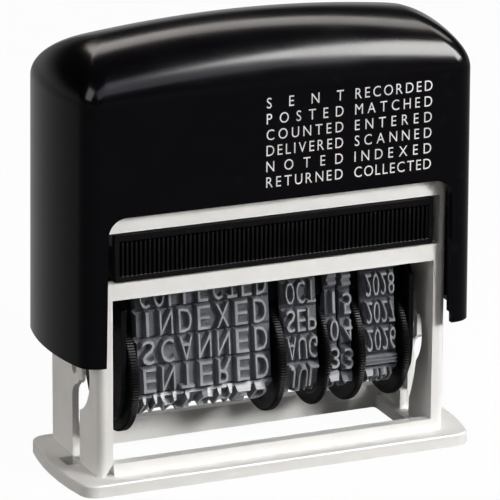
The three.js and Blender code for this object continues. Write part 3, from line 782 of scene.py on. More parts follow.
class RowRibs(RibTree):
    """Repeats a rib along X, evenly about the middle."""

    name = "ribs_along_plate"
    sizes = {"Rib": "Object", "Count": "Int", "Pitch": "Float"}

    def shape(self) -> Socket:
        """Sets a rib at each step of the row.

        Returns:
            The whole shape.
        """
        nodes, pitch = self.nodes, self.given["Pitch"]
        gaps = nodes.math("SUBTRACT", self.given["Count"], 1.0)
        first = nodes.math("MULTIPLY", nodes.math("MULTIPLY", gaps, pitch), -0.5)
        line = {"Start Location": nodes.vector("X", first), "Offset": nodes.vector("X", pitch)}
        return self.joined(self.ribs(line, {}))


class Coil(PieceTree):
    """Winds a wire into a spring with closed end turns.

    Attributes:
        closing_share: how far the end turns close up, up to 1 for turns that touch.
    """

    name = "wound_spring"
    sizes = dict.fromkeys(("Radius", "Wire Radius", "Low", "Length", "Turns"), "Float")
    steps_per_turn: int = 32
    wire_sides: int = 12
    closing_share: float = 0.75

    def shape(self) -> Socket:
        """Raises a flat spiral, slowly at both ends, and gives it the wire's section.

        Returns:
            The wire.
        """
        nodes, given = self.nodes, self.given
        spiral = nodes.add("GeometryNodeCurveSpiral", {
            "Resolution": self.steps_per_turn, "Height": 0.0, "Rotations": given["Turns"],
            "Start Radius": given["Radius"], "End Radius": given["Radius"]})
        along = nodes.add("GeometryNodeSplineParameter").outputs["Factor"]
        wave = nodes.math("SINE", nodes.math("MULTIPLY", along, TURN))
        held_back = nodes.math("MULTIPLY", wave, self.closing_share / TURN)
        eased = nodes.math("SUBTRACT", along, held_back)
        height = nodes.math("ADD", nodes.math("MULTIPLY", eased, given["Length"]), given["Low"])
        raised = nodes.add("GeometryNodeSetPosition", {
            "Geometry": spiral.outputs[0], "Offset": nodes.vector("Z", height)})
        section = nodes.add("GeometryNodeCurvePrimitiveCircle", {
            "Resolution": self.wire_sides, "Radius": given["Wire Radius"]})
        return nodes.add("GeometryNodeCurveToMesh", {
            "Curve": raised.outputs[0], "Profile Curve": section.outputs[0],
            "Fill Caps": True}).outputs[0]


# Bands and their type


@dataclass(frozen=True)
class Leg:
    """One stretch of a band's path: an arc, or a straight where it has no radius.

    Attributes:
        y: the y of the arc's centre, or of the straight's start.
        normal: the angle of the outward normal where the stretch starts.
    """

    length: float
    y: float
    z: float
    radius: float
    normal: float

    def place(self, along: float, offset: float) -> Point3:
        """Finds a place beside the stretch.

        Args:
            along: the length from its start.
            offset: the distance outwards.

        Returns:
            The y, the z and the normal's angle.
        """
        if self.radius:
            normal = self.normal - along / self.radius
            reach = self.radius + offset
            return self.y + reach * math.cos(normal), self.z + reach * math.sin(normal), normal
        across, up = math.cos(self.normal), math.sin(self.normal)
        return (self.y + offset * across + along * up, self.z + offset * up - along * across,
                self.normal)


@dataclass
class BandPath:
    """The loop that a band follows: over the print bridge, down both sides and round its wheel.

    Attributes:
        print_z: the height of the type's face at the print face.
        axis_z: the height of the wheels' axle.
        wheel_radius: how far the band's outer side stands from the axle at the front.
        type_height: how far the type stands up from the band's outer side in the frame.
        knee_drop: how far below the axle the band turns in under the wheel.
        belly_drop: how far below the axle the middle of that bend is.
    """

    print_z: float
    axis_z: float
    wheel_radius: float
    type_height: float = 0.9 * MM
    thickness: float = 0.8 * MM
    flat_half_depth: float = 4.3 * MM
    corner_radius: float = 1.0 * MM
    knee_radius: float = 3.2 * MM
    knee_drop: float = 1.65 * MM
    belly_radius: float = 3.8 * MM
    belly_drop: float = 1.55 * MM

    def __post_init__(self) -> None:
        """Lays the half loop's arcs and straights round its three bends."""
        crown_z = self.print_z - self.type_height
        bends = ((self.flat_half_depth, crown_z - self.corner_radius, self.corner_radius),
                 (self.wheel_radius - self.knee_radius, self.axis_z - self.knee_drop,
                  self.knee_radius),
                 (0.0, self.axis_z - self.belly_drop, self.belly_radius))
        self.legs = [Leg(self.flat_half_depth, 0.0, crown_z, 0.0, QUARTER)]
        normal = QUARTER
        for (y, z, radius), (next_y, next_z, next_radius) in zip(bends, bends[1:]):
            across, up = next_y - y, next_z - z
            apart = math.hypot(across, up)
            turned = math.atan2(up, across) + math.acos((radius - next_radius) / apart)
            turned -= TURN if turned > normal else 0.0
            self.legs.append(Leg(radius * (normal - turned), y, z, radius, normal))
            straight = math.sqrt(apart ** 2 - (radius - next_radius) ** 2)
            self.legs.append(Leg(straight, y + radius * math.cos(turned),
                                 z + radius * math.sin(turned), 0.0, turned))
            normal = turned
        y, z, radius = bends[-1]
        self.legs.append(Leg(radius * (normal + QUARTER), y, z, radius, normal))
        self.loop_length = 2 * sum(leg.length for leg in self.legs)

    def locate(self, length: float, offset: float) -> tuple[int, float, float, float]:
        """Finds a place on the loop.

        Args:
            length: the length along the loop, below zero towards the front.
            offset: the distance outwards from the band's outer side in the frame.

        Returns:
            The side, -1 at the front, then the y and z as if at the back, and the normal's angle.
        """
        wrapped = (length + self.loop_length / 2) % self.loop_length - self.loop_length / 2
        side = -1 if wrapped < 0 else 1
        left = abs(wrapped)
        for leg in self.legs[:-1]:
            if left <= leg.length:
                return side, *leg.place(left, offset)
            left -= leg.length
        return side, *self.legs[-1].place(left, offset)

    def place(self, length: float, offset: float) -> Point2:
        """Gives the (y, z) at a length from the print face's middle, and an offset outwards."""
        side, y, z, _ = self.locate(length, offset)
        return (side * y, z)

    def block(self, middle: float, along: float, offset: float) -> Point2:
        """Gives a place on a stiff block that touches the loop at its middle.

        Args:
            middle: the length along the loop of the block's middle.
            along: the distance from that middle, below zero the way that the length falls.
            offset: the distance outwards from the band's outer side in the frame.

        Returns:
            The y and z.
        """
        side, y, z, normal = self.locate(middle, offset)
        forward = side * along
        return (side * (y + forward * math.sin(normal)), z - forward * math.cos(normal))

    def stations(self, fineness: float = 0.3 * MM) -> list[float]:
        """Gives lengths round the whole loop, a fineness apart at most."""
        count = math.ceil(self.loop_length / fineness)
        return [self.loop_length * (i / count - 0.5) for i in range(count)]


@dataclass
class TypeLetter:
    """One letter as cut type: unit height, a narrow face and flanks that slope out to its foot."""

    points: list[Vector]
    faces: list[tuple[int, ...]]
    low_x: float
    high_x: float


@dataclass
class TypeFoundry:
    """Casts letters for the bands, and keeps those already cast.

    Attributes:
        flank: how far a letter's flanks slope out, as a share of its height.
        thinning: how much thinner its strokes are than the typeface's.
        face_level: the height above which its points are on its face, in flanks.
    """

    flank: float = 0.055
    thinning: float = -0.010
    face_level: float = 1.9
    merge: float = 1e-5
    cast: dict[str, TypeLetter] = field(default_factory=dict)

    def letter(self, sign: str) -> TypeLetter:
        """Gives a letter whose y runs from 0 to 1 and z from -1 to 1.

        Args:
            sign: the letter or digit.

        Returns:
            The cast letter: z is 1 on its face and 0 where its flanks end.
        """
        if sign in self.cast:
            return self.cast[sign]
        mesh = letter_mesh(sign, resolution_u=3, offset=self.thinning, extrude=self.flank,
                           bevel_depth=self.flank, bevel_resolution=0)
        with edited(mesh) as edit:
            bmesh.ops.remove_doubles(edit, verts=edit.verts, dist=self.merge)
            top = self.face_level * self.flank
            low, high = extent((vert.co for vert in edit.verts if vert.co.z > top), 1)
            height = high - low
            for vert in edit.verts:
                x, y, z = vert.co
                vert.co = (x / height, (y - low) / height, max(z / self.flank - 1.0, -1.0))
            bmesh.ops.recalc_face_normals(edit, faces=edit.faces)
            edit.verts.index_update()
            points = [vert.co.copy() for vert in edit.verts]
            faces = [tuple(vert.index for vert in face.verts) for face in edit.faces]
        sides = extent((co for co in points if co.z > FACE_LEVEL), 0)
        self.cast[sign] = TypeLetter(points, faces, *sides)
        return self.cast[sign]


@dataclass
class TypeBand:
    """One rubber band with its rows of raised type.

    Attributes:
        rows: the text of each row, from the print face down the front.
        letter_share: a letter's width as a share of its pitch, at most.
        margin: the bare strip at the left end of a row.
        shift: how far the rows are turned on from even places.
        row_edge: whether a thin upright edge closes each row on the left.
        strip_after: the row after which a low ridged strip stands.
        strip_share: that strip's room, in rows.
        ground: where the band's own surface is, below the frame's outer side.
        foot: where the letters' flanks end.
        root: how far raised shapes reach into the band.
        rim: the softening of the band's rims, and the pads' distance from them.
        ridge_span: where each of a blank block's ridges starts and ends, in steps.
        blank_reach: half a blank block's length, in rows.
        edge_room: where the letters start beside a row's edge, in widths of it.
        pad_rise: how pale the pads are painted, as painted light over the gaps' painted shade; the
            other painted-light fields tell the same of other parts.
    """

    node: str
    rows: Sequence[str]
    path: BandPath
    foundry: TypeFoundry
    letter_height: float
    letter_share: float = 0.74
    margin: float = 0.45 * MM
    right_margin: float = 0.45 * MM
    shift: float = 0.0
    row_edge: bool = False
    strip_after: int = -1
    strip_share: float = 0.45
    row_pitch: float = 4.53 * MM
    ground: float = -0.4 * MM
    foot: float = -0.22 * MM
    pad_height: float = -0.16 * MM
    pad_gap: float = 0.3 * MM
    root: float = 0.35 * MM
    edge_width: float = 0.2 * MM
    rim: float = 0.1 * MM
    draft: float = 0.1 * MM
    blank_inset: float = 0.25 * MM
    blank_height: float = 0.55
    ridge_span: Point2 = (0.12, 0.72)
    ridges: int = 3
    blank: str = "_"
    blank_reach: float = 0.4
    strip_reach: float = 0.42
    edge_room: float = 2.2
    sharp_angle: float = math.radians(28)
    # Painted shade and light of each part, from 0 darkest in the gaps to 1 palest on the type's
    # faces.
    pad_rise: float = 0.3
    flank_rise: float = 0.35
    blank_rise: float = 0.45
    ridge_rise: float = 0.75
    edge_rise: float = 0.9

    def __post_init__(self) -> None:
        """Takes the band's place from its CAD node."""
        low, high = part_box(self.node)
        self.left, self.right = low.x, high.x
        self.points: list[Point3] = []
        self.faces: list[tuple[int, ...]] = []
        self.rises: list[float] = []

    def add(self, points: Sequence[Point3], rises: Sequence[float], faces: Faces,
            block: float | None = None) -> None:
        """Adds a closed shape to the band's mesh.

        Args:
            points: each vertex's x, length along the loop or from the block, and offset.
            rises: how pale each vertex is painted, as painted shade and light, from 0 in the gaps to
                1 on the type's face.
            faces: the vertices of each face.
            block: the length along the loop of the stiff block's middle, if it is on one.
        """
        start = len(self.points)
        for x, length, offset in points:
            self.points.append((x, *(self.path.place(length, offset) if block is None
                                     else self.path.block(block, length, offset))))
        self.rises.extend(rises)
        self.faces.extend(tuple(start + index for index in face) for face in faces)

    def add_loop(self) -> None:
        """Adds the band itself, with softened rims."""
        left, right, rim = self.left, self.right, self.rim
        outer, inner = self.ground, -self.path.thickness
        section = [(left + rim, outer), (right - rim, outer), (right, outer - rim),
                   (right, inner + rim), (right - rim, inner), (left + rim, inner),
                   (left, inner + rim), (left, outer - rim)]
        stations = self.path.stations()
        points = [(x, length, offset) for length in stations for x, offset in section]
        # The band itself is given the darkest painted shade, as the gaps are.
        self.add(points, [0.0] * len(points), lofted(len(stations), len(section), True))

    def add_bar(self, across: Point2, along: Point2, middle: float, height: float,
                rise: float) -> None:
        """Adds a raised bar to a row's block.

        Args:
            across: its left and right ends.
            along: where it starts and ends, from the block's middle.
            middle: the length along the loop of the block's middle.
            height: how far it stands up.
            rise: how pale its top is painted; its foot gets the gaps' darkest painted shade.
        """
        points = []
        for inset, offset in ((0.0, self.ground - self.root), (self.draft, height)):
            left, right = across[0] + inset, across[1] - inset
            low, high = along[0] + inset, along[1] - inset
            points += [(left, low, offset), (right, low, offset), (right, high, offset),
                       (left, high, offset)]
        faces = [(3, 2, 1, 0), (4, 5, 6, 7), *lofted(2, 4)]
        # Painted shade at the bar's foot, painted light on its top.
        self.add(points, [0.0] * 4 + [rise] * 4, faces, middle)

    def add_letter(self, sign: str, middle: float, pitch: float, row: float) -> None:
        """Adds one letter, mirrored upside down as type for a print is.

        Args:
            sign: the letter.
            middle: the x of its middle.
            pitch: the room that it has along the row.
            row: the length along the loop of the row's middle.
        """
        letter = self.foundry.letter(sign)
        natural = (letter.high_x - letter.low_x) * self.letter_height
        stretch = min(1.0, self.letter_share * pitch / natural)
        centre = (letter.low_x + letter.high_x) / 2
        top = self.path.type_height - self.foot
        points = [(middle + (co.x - centre) * self.letter_height * stretch,
                   -(co.y - 0.5) * self.letter_height,
                   self.foot + co.z * (top if co.z > 0 else self.root)) for co in letter.points]
        # Painted light: the type's face palest, its flanks darker in painted shade.
        rises = [1.0 if co.z > FACE_LEVEL else self.flank_rise for co in letter.points]
        self.add(points, rises, letter.faces, row)

    def add_blank(self, middle: float, half: float) -> None:
        """Adds a block with no letters, with a few ridges along it.

        Args:
            middle: the length along the loop of its middle.
            half: half its length along the loop.
        """
        across = (self.left + self.blank_inset, self.right - self.blank_inset)
        high = self.path.type_height
        # The block is painted paler than the pads and its ridges paler still, as painted light.
        self.add_bar(across, (-half, half), middle, self.blank_height * high,
                     self.blank_rise)
        step = 2 * half / self.ridges
        for i in range(self.ridges):
            span = tuple(-half + step * i + share * step for share in self.ridge_span)
            self.add_bar(across, span, middle, high, self.ridge_rise)

    def add_row(self, index: int, text: str) -> None:
        """Adds a row: its pad, its letters and its edge.

        Args:
            index: the row's number from the print face down the front.
            text: its letters; a row of blanks gets a plain block instead.
        """
        turned = index if index <= len(self.rows) // 2 else index - len(self.rows)
        if 0 <= self.strip_after < turned:
            turned += self.strip_share
        middle = -turned * self.row_pitch + self.shift
        half = (self.row_pitch - self.pad_gap) / 2
        sides = (self.left + self.rim, self.right - self.rim)
        # The pad is painted a little paler than the gaps, as painted light.
        self.add_bar(sides, (-half, half), middle, self.pad_height, self.pad_rise)
        if not text.strip(self.blank):
            self.add_blank(middle, self.blank_reach * self.row_pitch)
            return
        first, last = self.left + self.margin, self.right - self.right_margin
        if self.row_edge:
            reach = self.letter_height / 2
            # The row's edge is painted nearly as pale as the type's face.
            self.add_bar((first, first + self.edge_width), (-reach, reach), middle,
                         self.path.type_height, self.edge_rise)
            first += self.edge_room * self.edge_width
        step = (last - first) / len(text)
        for i, sign in enumerate(text):
            if sign != self.blank:
                self.add_letter(sign, first + step * (i + 0.5), step, middle)
        if index == self.strip_after:
            strip = middle - (0.5 + self.strip_share / 2) * self.row_pitch
            self.add_blank(strip, self.strip_reach * self.strip_share * self.row_pitch)

    def build(self, coat: Coat) -> None:
        """Builds the band and dresses it.

        Args:
            coat: the bands' rubber.
        """
        self.add_loop()
        for index, text in enumerate(self.rows):
            self.add_row(index, text)
        mesh = bpy.data.meshes.new(f"lettered_{self.node}")
        mesh.from_pydata(self.points, [], self.faces)
        # The rubber's colour follows this painted shade and light.
        mesh.attributes.new(Mask.RISE.value, "FLOAT", "POINT").data.foreach_set(
            "value", self.rises)
        with edited(mesh) as edit:
            bmesh.ops.recalc_face_normals(edit, faces=edit.faces)
        mesh.shade_smooth()
        mesh.set_sharp_from_angle(angle=self.sharp_angle)
        dress(add_object(mesh.name, mesh), Body.CARRIER, coat, self.node)


@dataclass
class BandSet:
    """The five bands, from the phrases on the left to the years on the right."""

    finishes: Finishes
    phrases: Sequence[str] = (
        "RETURNED", "COLLECTED", "INDEXED", "SCANNED", "ENTERED", "MATCHED", "RECORDED",
        "_", "SENT", "POSTED", "COUNTED", "DELIVERED", "NOTED")
    months: Sequence[str] = (
        "DEC", "NOV", "OCT", "SEP", "AUG", "JUL", "JUN", "MAY", "APR", "MAR", "FEB", "JAN", "_")
    day_tens: Sequence[str] = "__103210_3210"
    day_units: Sequence[str] = "6_543210987_7"
    years: Sequence[str] = (
        "2030", "2029", "2028", "2027", "2026", "2037", "2036", "2035", "2034", "2033", "2032",
        "2031")
    phrase_letters: float = 3.8 * MM
    date_letters: float = 3.55 * MM
    day_letters: float = 3.4 * MM

    def path(self) -> BandPath:
        """Gives the loop that every band follows.

        Returns:
            The loop, from the phrase band's CAD node.
        """
        low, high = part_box("band_phrase")
        wheel_low, wheel_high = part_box("wheel_phrase")
        axis_z = (wheel_low.z + wheel_high.z) / 2
        return BandPath(high.z, axis_z, axis_z - low.z - BandPath.type_height)

    def build(self) -> None:
        """Builds every band."""
        shared = (self.path(), TypeFoundry())
        pitch = TypeBand.row_pitch
        dates = {"letter_height": self.date_letters, "letter_share": 0.8, "margin": 0.1 * MM,
                 "right_margin": 0.35 * MM, "row_edge": True}
        days = {"letter_height": self.day_letters, "letter_share": 0.92}
        for band in (
                TypeBand("band_phrase", self.phrases, *shared, self.phrase_letters,
                         letter_share=0.68, margin=0.1 * MM, right_margin=0.5 * MM,
                         shift=-0.45 * pitch, row_edge=True),
                TypeBand("band_month", self.months, *shared, **dates),
                TypeBand("band_day_tens", self.day_tens, *shared, **days, margin=0.5 * MM,
                         right_margin=0.1 * MM, shift=-0.52 * pitch),
                TypeBand("band_day_units", self.day_units, *shared, **days, margin=0.4 * MM,
                         right_margin=0.2 * MM, shift=-0.6 * pitch),
                TypeBand("band_year", self.years, *shared, **dates, shift=-0.07 * pitch,
                         strip_after=4)):
            band.build(self.finishes.rubber)


# Thumb wheels


@dataclass
class ThumbWheel:
    """A thumb wheel: a drum under its band and a rim with fine ribs.

    Attributes:
        rib_shoulder: how far a rib's ends stand below its top.
        dish_slope: how far the dish's walls lean.
        dish_share: the dish's depth as a share of the rim's width.
        lean: how far the ends of the ribs lean in.
        sides: the steps of the turned shape.
    """

    body: Body
    ribs: int = 132
    rib_height: float = 0.32 * MM
    rib_share: float = 0.52
    rib_root: float = 0.1 * MM
    rib_chamfer: float = 0.1 * MM
    rib_shoulder: float = 0.12 * MM
    running_gap: float = 0.2 * MM
    drum_radius: float = 4.0 * MM
    bore_radius: float = 1.55 * MM
    rim_edge: float = 0.16 * MM
    rim_wall: float = 1.5 * MM
    hub_radius: float = 3.2 * MM
    dish_slope: float = 0.2 * MM
    dish_share: float = 0.25
    lean: float = 0.2 * MM
    sides: int = 96

    def __post_init__(self) -> None:
        """Takes the wheel's place from its CAD node and its band's."""
        lane = self.body.value.removesuffix("_wheel")
        self.node = f"wheel_{lane}"
        low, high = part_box(self.node)
        band_low, band_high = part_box(f"band_{lane}")
        self.axis_z = (low.z + high.z) / 2
        self.radius = (high.z - low.z) / 2
        if band_low.x - low.x > high.x - band_high.x:
            self.side, self.drum_end = Side.LEFT, high.x
            self.rim = (low.x, band_low.x - self.running_gap)
        else:
            self.side, self.drum_end = Side.RIGHT, low.x
            self.rim = (band_high.x + self.running_gap, high.x)

    def profile(self) -> list[Point2]:
        """Lays out the section of the wheel without its ribs.

        Returns:
            The section's points, as (x, radius).
        """
        inward = self.side.value
        face, back = self.rim[::inward]
        dished = face + inward * self.dish_share * (self.rim[1] - self.rim[0])
        root = self.radius - self.rib_height
        ring, edge = root - self.rim_wall, inward * self.rim_edge
        section = [(face, self.bore_radius), (face, self.hub_radius),
                   (dished, self.hub_radius + self.dish_slope), (dished, ring - self.dish_slope),
                   (face, ring), (face, root - self.rim_edge), (face + edge, root),
                   (back - edge, root), (back, root - self.rim_edge), (back, self.drum_radius),
                   (self.drum_end, self.drum_radius), (self.drum_end, self.bore_radius)]
        return section[::inward]

    def turned(self) -> Object:
        """Turns the section about the axle.

        Returns:
            The wheel without its ribs.
        """
        section = self.profile()
        points = []
        for i in range(self.sides):
            angle = TURN * i / self.sides
            points += [(x, radius * math.cos(angle), self.axis_z + radius * math.sin(angle))
                       for x, radius in section]
        return mesh_from(f"ribbed_{self.node}", points, lofted(self.sides, len(section), True))

    def rib(self) -> Object:
        """Makes one rib of the rim, standing above the axis.

        Returns:
            The rib.
        """
        start, end = self.rim
        half = TURN * self.radius / self.ribs * self.rib_share / 2
        root = self.radius - self.rib_height - self.rib_root
        shoulder = self.radius - self.rib_shoulder - self.lean
        points = []
        for x, top in ((start, shoulder), (start + self.lean, self.radius),
                       (end - self.lean, self.radius), (end, shoulder)):
            side = top - self.rib_chamfer
            points += [(x, -half, root), (x, -half, side), (x, -half / 2, top),
                       (x, half / 2, top), (x, half, side), (x, half, root)]
        count = len(points)
        faces = [range(6), range(count - 6, count), *lofted(4, 6)]
        return mesh_from(f"rib_of_{self.node}", points, faces)

    def build(self, tree: RimRibs, coat: Coat) -> None:
        """Builds the wheel and dresses it.

        Args:
            tree: the tree that repeats a rib round the axle.
            coat: the wheel's plastic.
        """
        obj, rib = self.turned(), self.rib()
        smooth(obj, angle=30.0)
        tree.run(obj, coat.material, rib=rib, count=self.ribs, axis_height=self.axis_z)
        remove(rib)
        dress(obj, self.body, coat, self.node)


@dataclass
class WheelSet:
    """The five thumb wheels on their axle."""

    finishes: Finishes

    def build(self) -> None:
        """Builds every wheel."""
        tree = RimRibs()
        for body in Body:
            if body.value.endswith("_wheel"):
                ThumbWheel(body).build(tree, self.finishes.satin)


# Cap


@dataclass
class Legend:
    """The printed list on the cap's front: two columns of words spread to one width.

    Attributes:
        front_y: the y of the cap's front.
        narrowing: the letters' width as a share of the typeface's.
        weight: how much thinner the strokes are than the typeface's.
    """

    front_y: float
    columns: Sequence[Sequence[str]] = (
        ("SENT", "POSTED", "COUNTED", "DELIVERED", "NOTED", "RETURNED"),
        ("RECORDED", "MATCHED", "ENTERED", "SCANNED", "INDEXED", "COLLECTED"))
    spans: Sequence[Point2] = ((-2.95 * MM, 10.1 * MM), (12.1 * MM, 25.4 * MM))
    first_baseline: float = 60.1 * MM
    line_pitch: float = 2.56 * MM
    letter_height: float = 1.68 * MM
    narrowing: float = 0.86
    thickness: float = 0.03 * MM
    weight: float = -0.004
    extrusion: float = 0.01

    def __post_init__(self) -> None:
        """Measures a plain capital, to scale the letters by."""
        low, high = extent((vert.co for vert in letter_mesh("H").vertices), 1)
        self.scale = self.letter_height / (high - low)

    def letter(self, sign: str, baseline: float) -> tuple[Mesh, float]:
        """Makes one flat letter with its left edge at x = 0.

        Args:
            sign: the letter.
            baseline: the height of its baseline.

        Returns:
            The letter's mesh, and its width.
        """
        mesh = letter_mesh(sign, resolution_u=4, offset=self.weight, extrude=self.extrusion)
        low_x, high_x = extent((vert.co for vert in mesh.vertices), 0)
        for vert in mesh.vertices:
            across = (vert.co.x - low_x) * self.scale * self.narrowing
            depth = -self.thickness if vert.co.z > 0 else self.thickness
            vert.co = (across, self.front_y + depth, baseline + vert.co.y * self.scale)
        return mesh, (high_x - low_x) * self.scale * self.narrowing

    def word(self, text: str, span: Point2, baseline: float) -> list[Mesh]:
        """Sets one word, its letters spread evenly to the column's width.

        Args:
            text: the word.
            span: the column's left and right.
            baseline: the height of its baseline.

        Returns:
            The letters.
        """
        made = [self.letter(sign, baseline) for sign in text]
        gap = (span[1] - span[0] - sum(width for _, width in made)) / (len(text) - 1)
        x = span[0]
        for mesh, width in made:
            mesh.transform(Matrix.Translation((x, 0, 0)))
            x += width + gap
        return [mesh for mesh, _ in made]

    def build(self, coat: Coat) -> None:
        """Builds the whole list as one piece.

        Args:
            coat: the printing's finish.
        """
        whole = bpy.data.meshes.new("cap_legend")
        with edited(whole) as edit:
            for words, span in zip(self.columns, self.spans):
                for line, text in enumerate(words):
                    baseline = self.first_baseline - line * self.line_pitch
                    for letter in self.word(text, span, baseline):
                        edit.from_mesh(letter)
        dress(add_object("cap_legend", whole), Body.CAP, coat)


@dataclass
class Cap:
    """The domed grip: swelling ends, a long arched ridge and a cut-out front and back.

    Attributes:
        end_round: how far the dome's ends draw in towards the ridge.
        opening_draft: how much wider the cut-out is at its foot.
        rebate_depth: how much the step along the bottom edge thins the wall.
        rib_rise: how far above the bottom edge the guide ribs start.
        rib_drop: how far below the dome they end.
        rib_reach: how far into the wall they reach, as a share of it.
        crown_share: how near to level the dome's last ring is.
    """

    finishes: Finishes
    wall: float = 1.8 * MM
    dome_rise: float = 9.8 * MM
    ridge_drop: float = 3.2 * MM
    end_round: float = 9.0 * MM
    taper: float = 0.4 * MM
    end_bulge: float = 2.04 * MM
    corner_radius: float = 3.4 * MM
    opening_inset: float = 0.75 * MM
    opening_drop: float = 0.9 * MM
    opening_radius: float = 3.0 * MM
    opening_draft: float = 0.4 * MM
    opening_steps: int = 10
    rebate_height: float = 1.6 * MM
    rebate_depth: float = 0.9 * MM
    rib_thickness: float = 1.2 * MM
    rib_y: float = 7.4 * MM
    rib_rise: float = 3.0 * MM
    rib_drop: float = 2.6 * MM
    rib_reach: float = 0.9
    post_radius: float = 2.2 * MM
    post_x: float = 18.0 * MM
    spigot_radius: float = 3.4 * MM
    spigot_length: float = 2.2 * MM
    seat_radius: float = 4.9 * MM
    seat_room: float = 0.1 * MM
    clearance: float = 0.3 * MM
    overrun: float = 1.0 * MM
    collar_height: float = 1.9 * MM
    corner_steps: int = 14
    end_steps: int = 20
    straight_steps: int = 22
    dome_steps: int = 26
    crown_share: float = 0.985
    edge: float = 0.35 * MM

    def __post_init__(self) -> None:
        """Takes the cap's size from the CAD nodes."""
        low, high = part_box("cap")
        self.half_length, self.half_depth = high.x, high.y
        self.bottom_z, self.top_z = low.z, high.z
        self.shoulder_z = self.top_z - self.dome_rise
        self.roof_z = self.top_z - self.wall
        self.frame_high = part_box("frame")[1]
        self.yoke_top_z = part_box("yoke")[1].z

    def plan(self, inset: float) -> list[Point2]:
        """Gives the plan: straight front and back, ends that swell outwards.

        Args:
            inset: how far inside the cap's own plan it is.

        Returns:
            The plan's points.
        """
        half_depth, radius = self.half_depth - inset, self.corner_radius - inset
        bulge = self.end_bulge
        end_radius = (half_depth ** 2 + bulge ** 2) / (2 * bulge)
        end_x = self.half_length - inset - end_radius
        corner_y = half_depth - radius
        corner_x = end_x + math.sqrt((end_radius - radius) ** 2 - corner_y ** 2)
        turn = math.atan2(corner_y, corner_x - end_x)
        steps = self.straight_steps
        front = [*((corner_x * i / steps, -half_depth) for i in range(1, steps)),
                 *arc(corner_x, -corner_y, radius, -QUARTER, -turn, self.corner_steps),
                 *arc(end_x, 0.0, end_radius, -turn, 0.0, self.end_steps)[1:]]
        half = [*front, *((x, -y) for x, y in reversed(front[:-1]))]
        return [(0.0, -half_depth), *half, (0.0, half_depth), *((-x, -y) for x, y in half)]

    def dome(self, name: str, inset: float, bottom_z: float, top_z: float) -> Object:
        """Makes a tall body with that plan that closes in a long arched ridge.

        Args:
            name: the object's name.
            inset: how far inside the cap's outer faces its sides are.
            bottom_z: where it starts.
            top_z: the top of its ridge.

        Returns:
            The object.
        """
        plan = self.plan(inset)
        count = len(plan)
        half_length, end_round = self.half_length - inset, self.end_round - inset
        points = [(x, y, bottom_z) for x, y in plan]
        for step in range(self.dome_steps + 1):
            last = step == self.dome_steps
            lean = QUARTER * (self.crown_share if last else step / self.dome_steps)
            rise = 1.0 if last else math.sin(lean)
            share = (half_length - self.taper - end_round * (1 - math.cos(lean))) / half_length
            for x, y in plan:
                ridge_z = top_z - self.ridge_drop * (x * share / self.half_length) ** 2
                points.append((x * share, y * math.cos(lean),
                               self.shoulder_z + (ridge_z - self.shoulder_z) * rise))
        faces = [range(count), *lofted(self.dome_steps + 2, count)]
        crown = len(points) - count
        half = count // 2
        for a in range(half // 2):
            for strip in ((a, a + 1, half - a - 1, half - a),
                          (-a - 1, -a, half + a, half + a + 1)):
                faces.append(list(dict.fromkeys(crown + i % count for i in strip)))
        return mesh_from(name, points, faces)

    def opening(self) -> Object:
        """Makes the cutter of the cut-out that runs through front and back.

        Returns:
            The cutter.
        """
        low = self.bottom_z - self.overrun
        half = self.frame_high.x - self.opening_inset
        foot = half + self.opening_draft
        radius, steps = self.opening_radius, self.opening_steps
        arc_z = self.frame_high.z - self.collar_height - self.opening_drop - radius
        outline = [(-foot, low), (foot, low),
                   *arc(half - radius, arc_z, radius, 0.0, QUARTER, steps),
                   *arc(radius - half, arc_z, radius, QUARTER, 2 * QUARTER, steps)]
        reach = self.half_depth + self.overrun
        return prism("cap_opening", outline, -reach, reach, (0, 2, 1))

    def rebate(self) -> Object:
        """Makes the cutter of the step that thins the wall along the bottom edge."""
        return prism("cap_rebate", self.plan(self.wall - self.rebate_depth),
                     self.bottom_z - self.overrun, self.bottom_z + self.rebate_height)

    def fittings(self) -> list[Object]:
        """Makes the guide ribs, the yoke's posts and the spring's spigot under the roof.

        Returns:
            The fittings.
        """
        reach = (self.frame_high.x + self.clearance,
                 self.half_length - self.rib_reach * self.wall)
        low_z, high_z = self.bottom_z + self.rib_rise, self.shoulder_z - self.rib_drop
        made = []
        for sign in (-1, 1):
            near, far = sorted(sign * x for x in reach)
            for y in (-self.rib_y, self.rib_y):
                front, back = y - self.rib_thickness / 2, y + self.rib_thickness / 2
                made.append(box_mesh("guide_rib", (near, front, low_z), (far, back, high_z)))
            made.append(rod_along_z("yoke_post", self.post_radius, sign * self.post_x,
                                    self.yoke_top_z, self.roof_z))
        made.append(rod_along_z("spring_spigot", self.spigot_radius, 0.0,
                                self.roof_z - self.spigot_length, self.top_z - self.wall / 2))
        return made

    def build(self) -> None:
        """Builds the cap and its printed list."""
        shell = self.dome("domed_cap", 0.0, self.bottom_z, self.top_z)
        hollow = self.dome("cap_hollow", self.wall, self.bottom_z - self.overrun, self.roof_z)
        seat = rod_along_z("spring_seat", self.seat_radius, 0.0, self.roof_z - self.spigot_length,
                           self.roof_z + self.seat_room)
        for cutter in (hollow, seat, self.rebate(), self.opening()):
            combine(shell, cutter, "DIFFERENCE")
        for fitting in self.fittings():
            combine(shell, fitting, "UNION")
        round_edges(shell, self.edge, segments=3, angle=40.0)
        dress(shell, Body.CAP, self.finishes.gloss, "cap")
        Legend(-self.half_depth).build(self.finishes.printed)


# White case


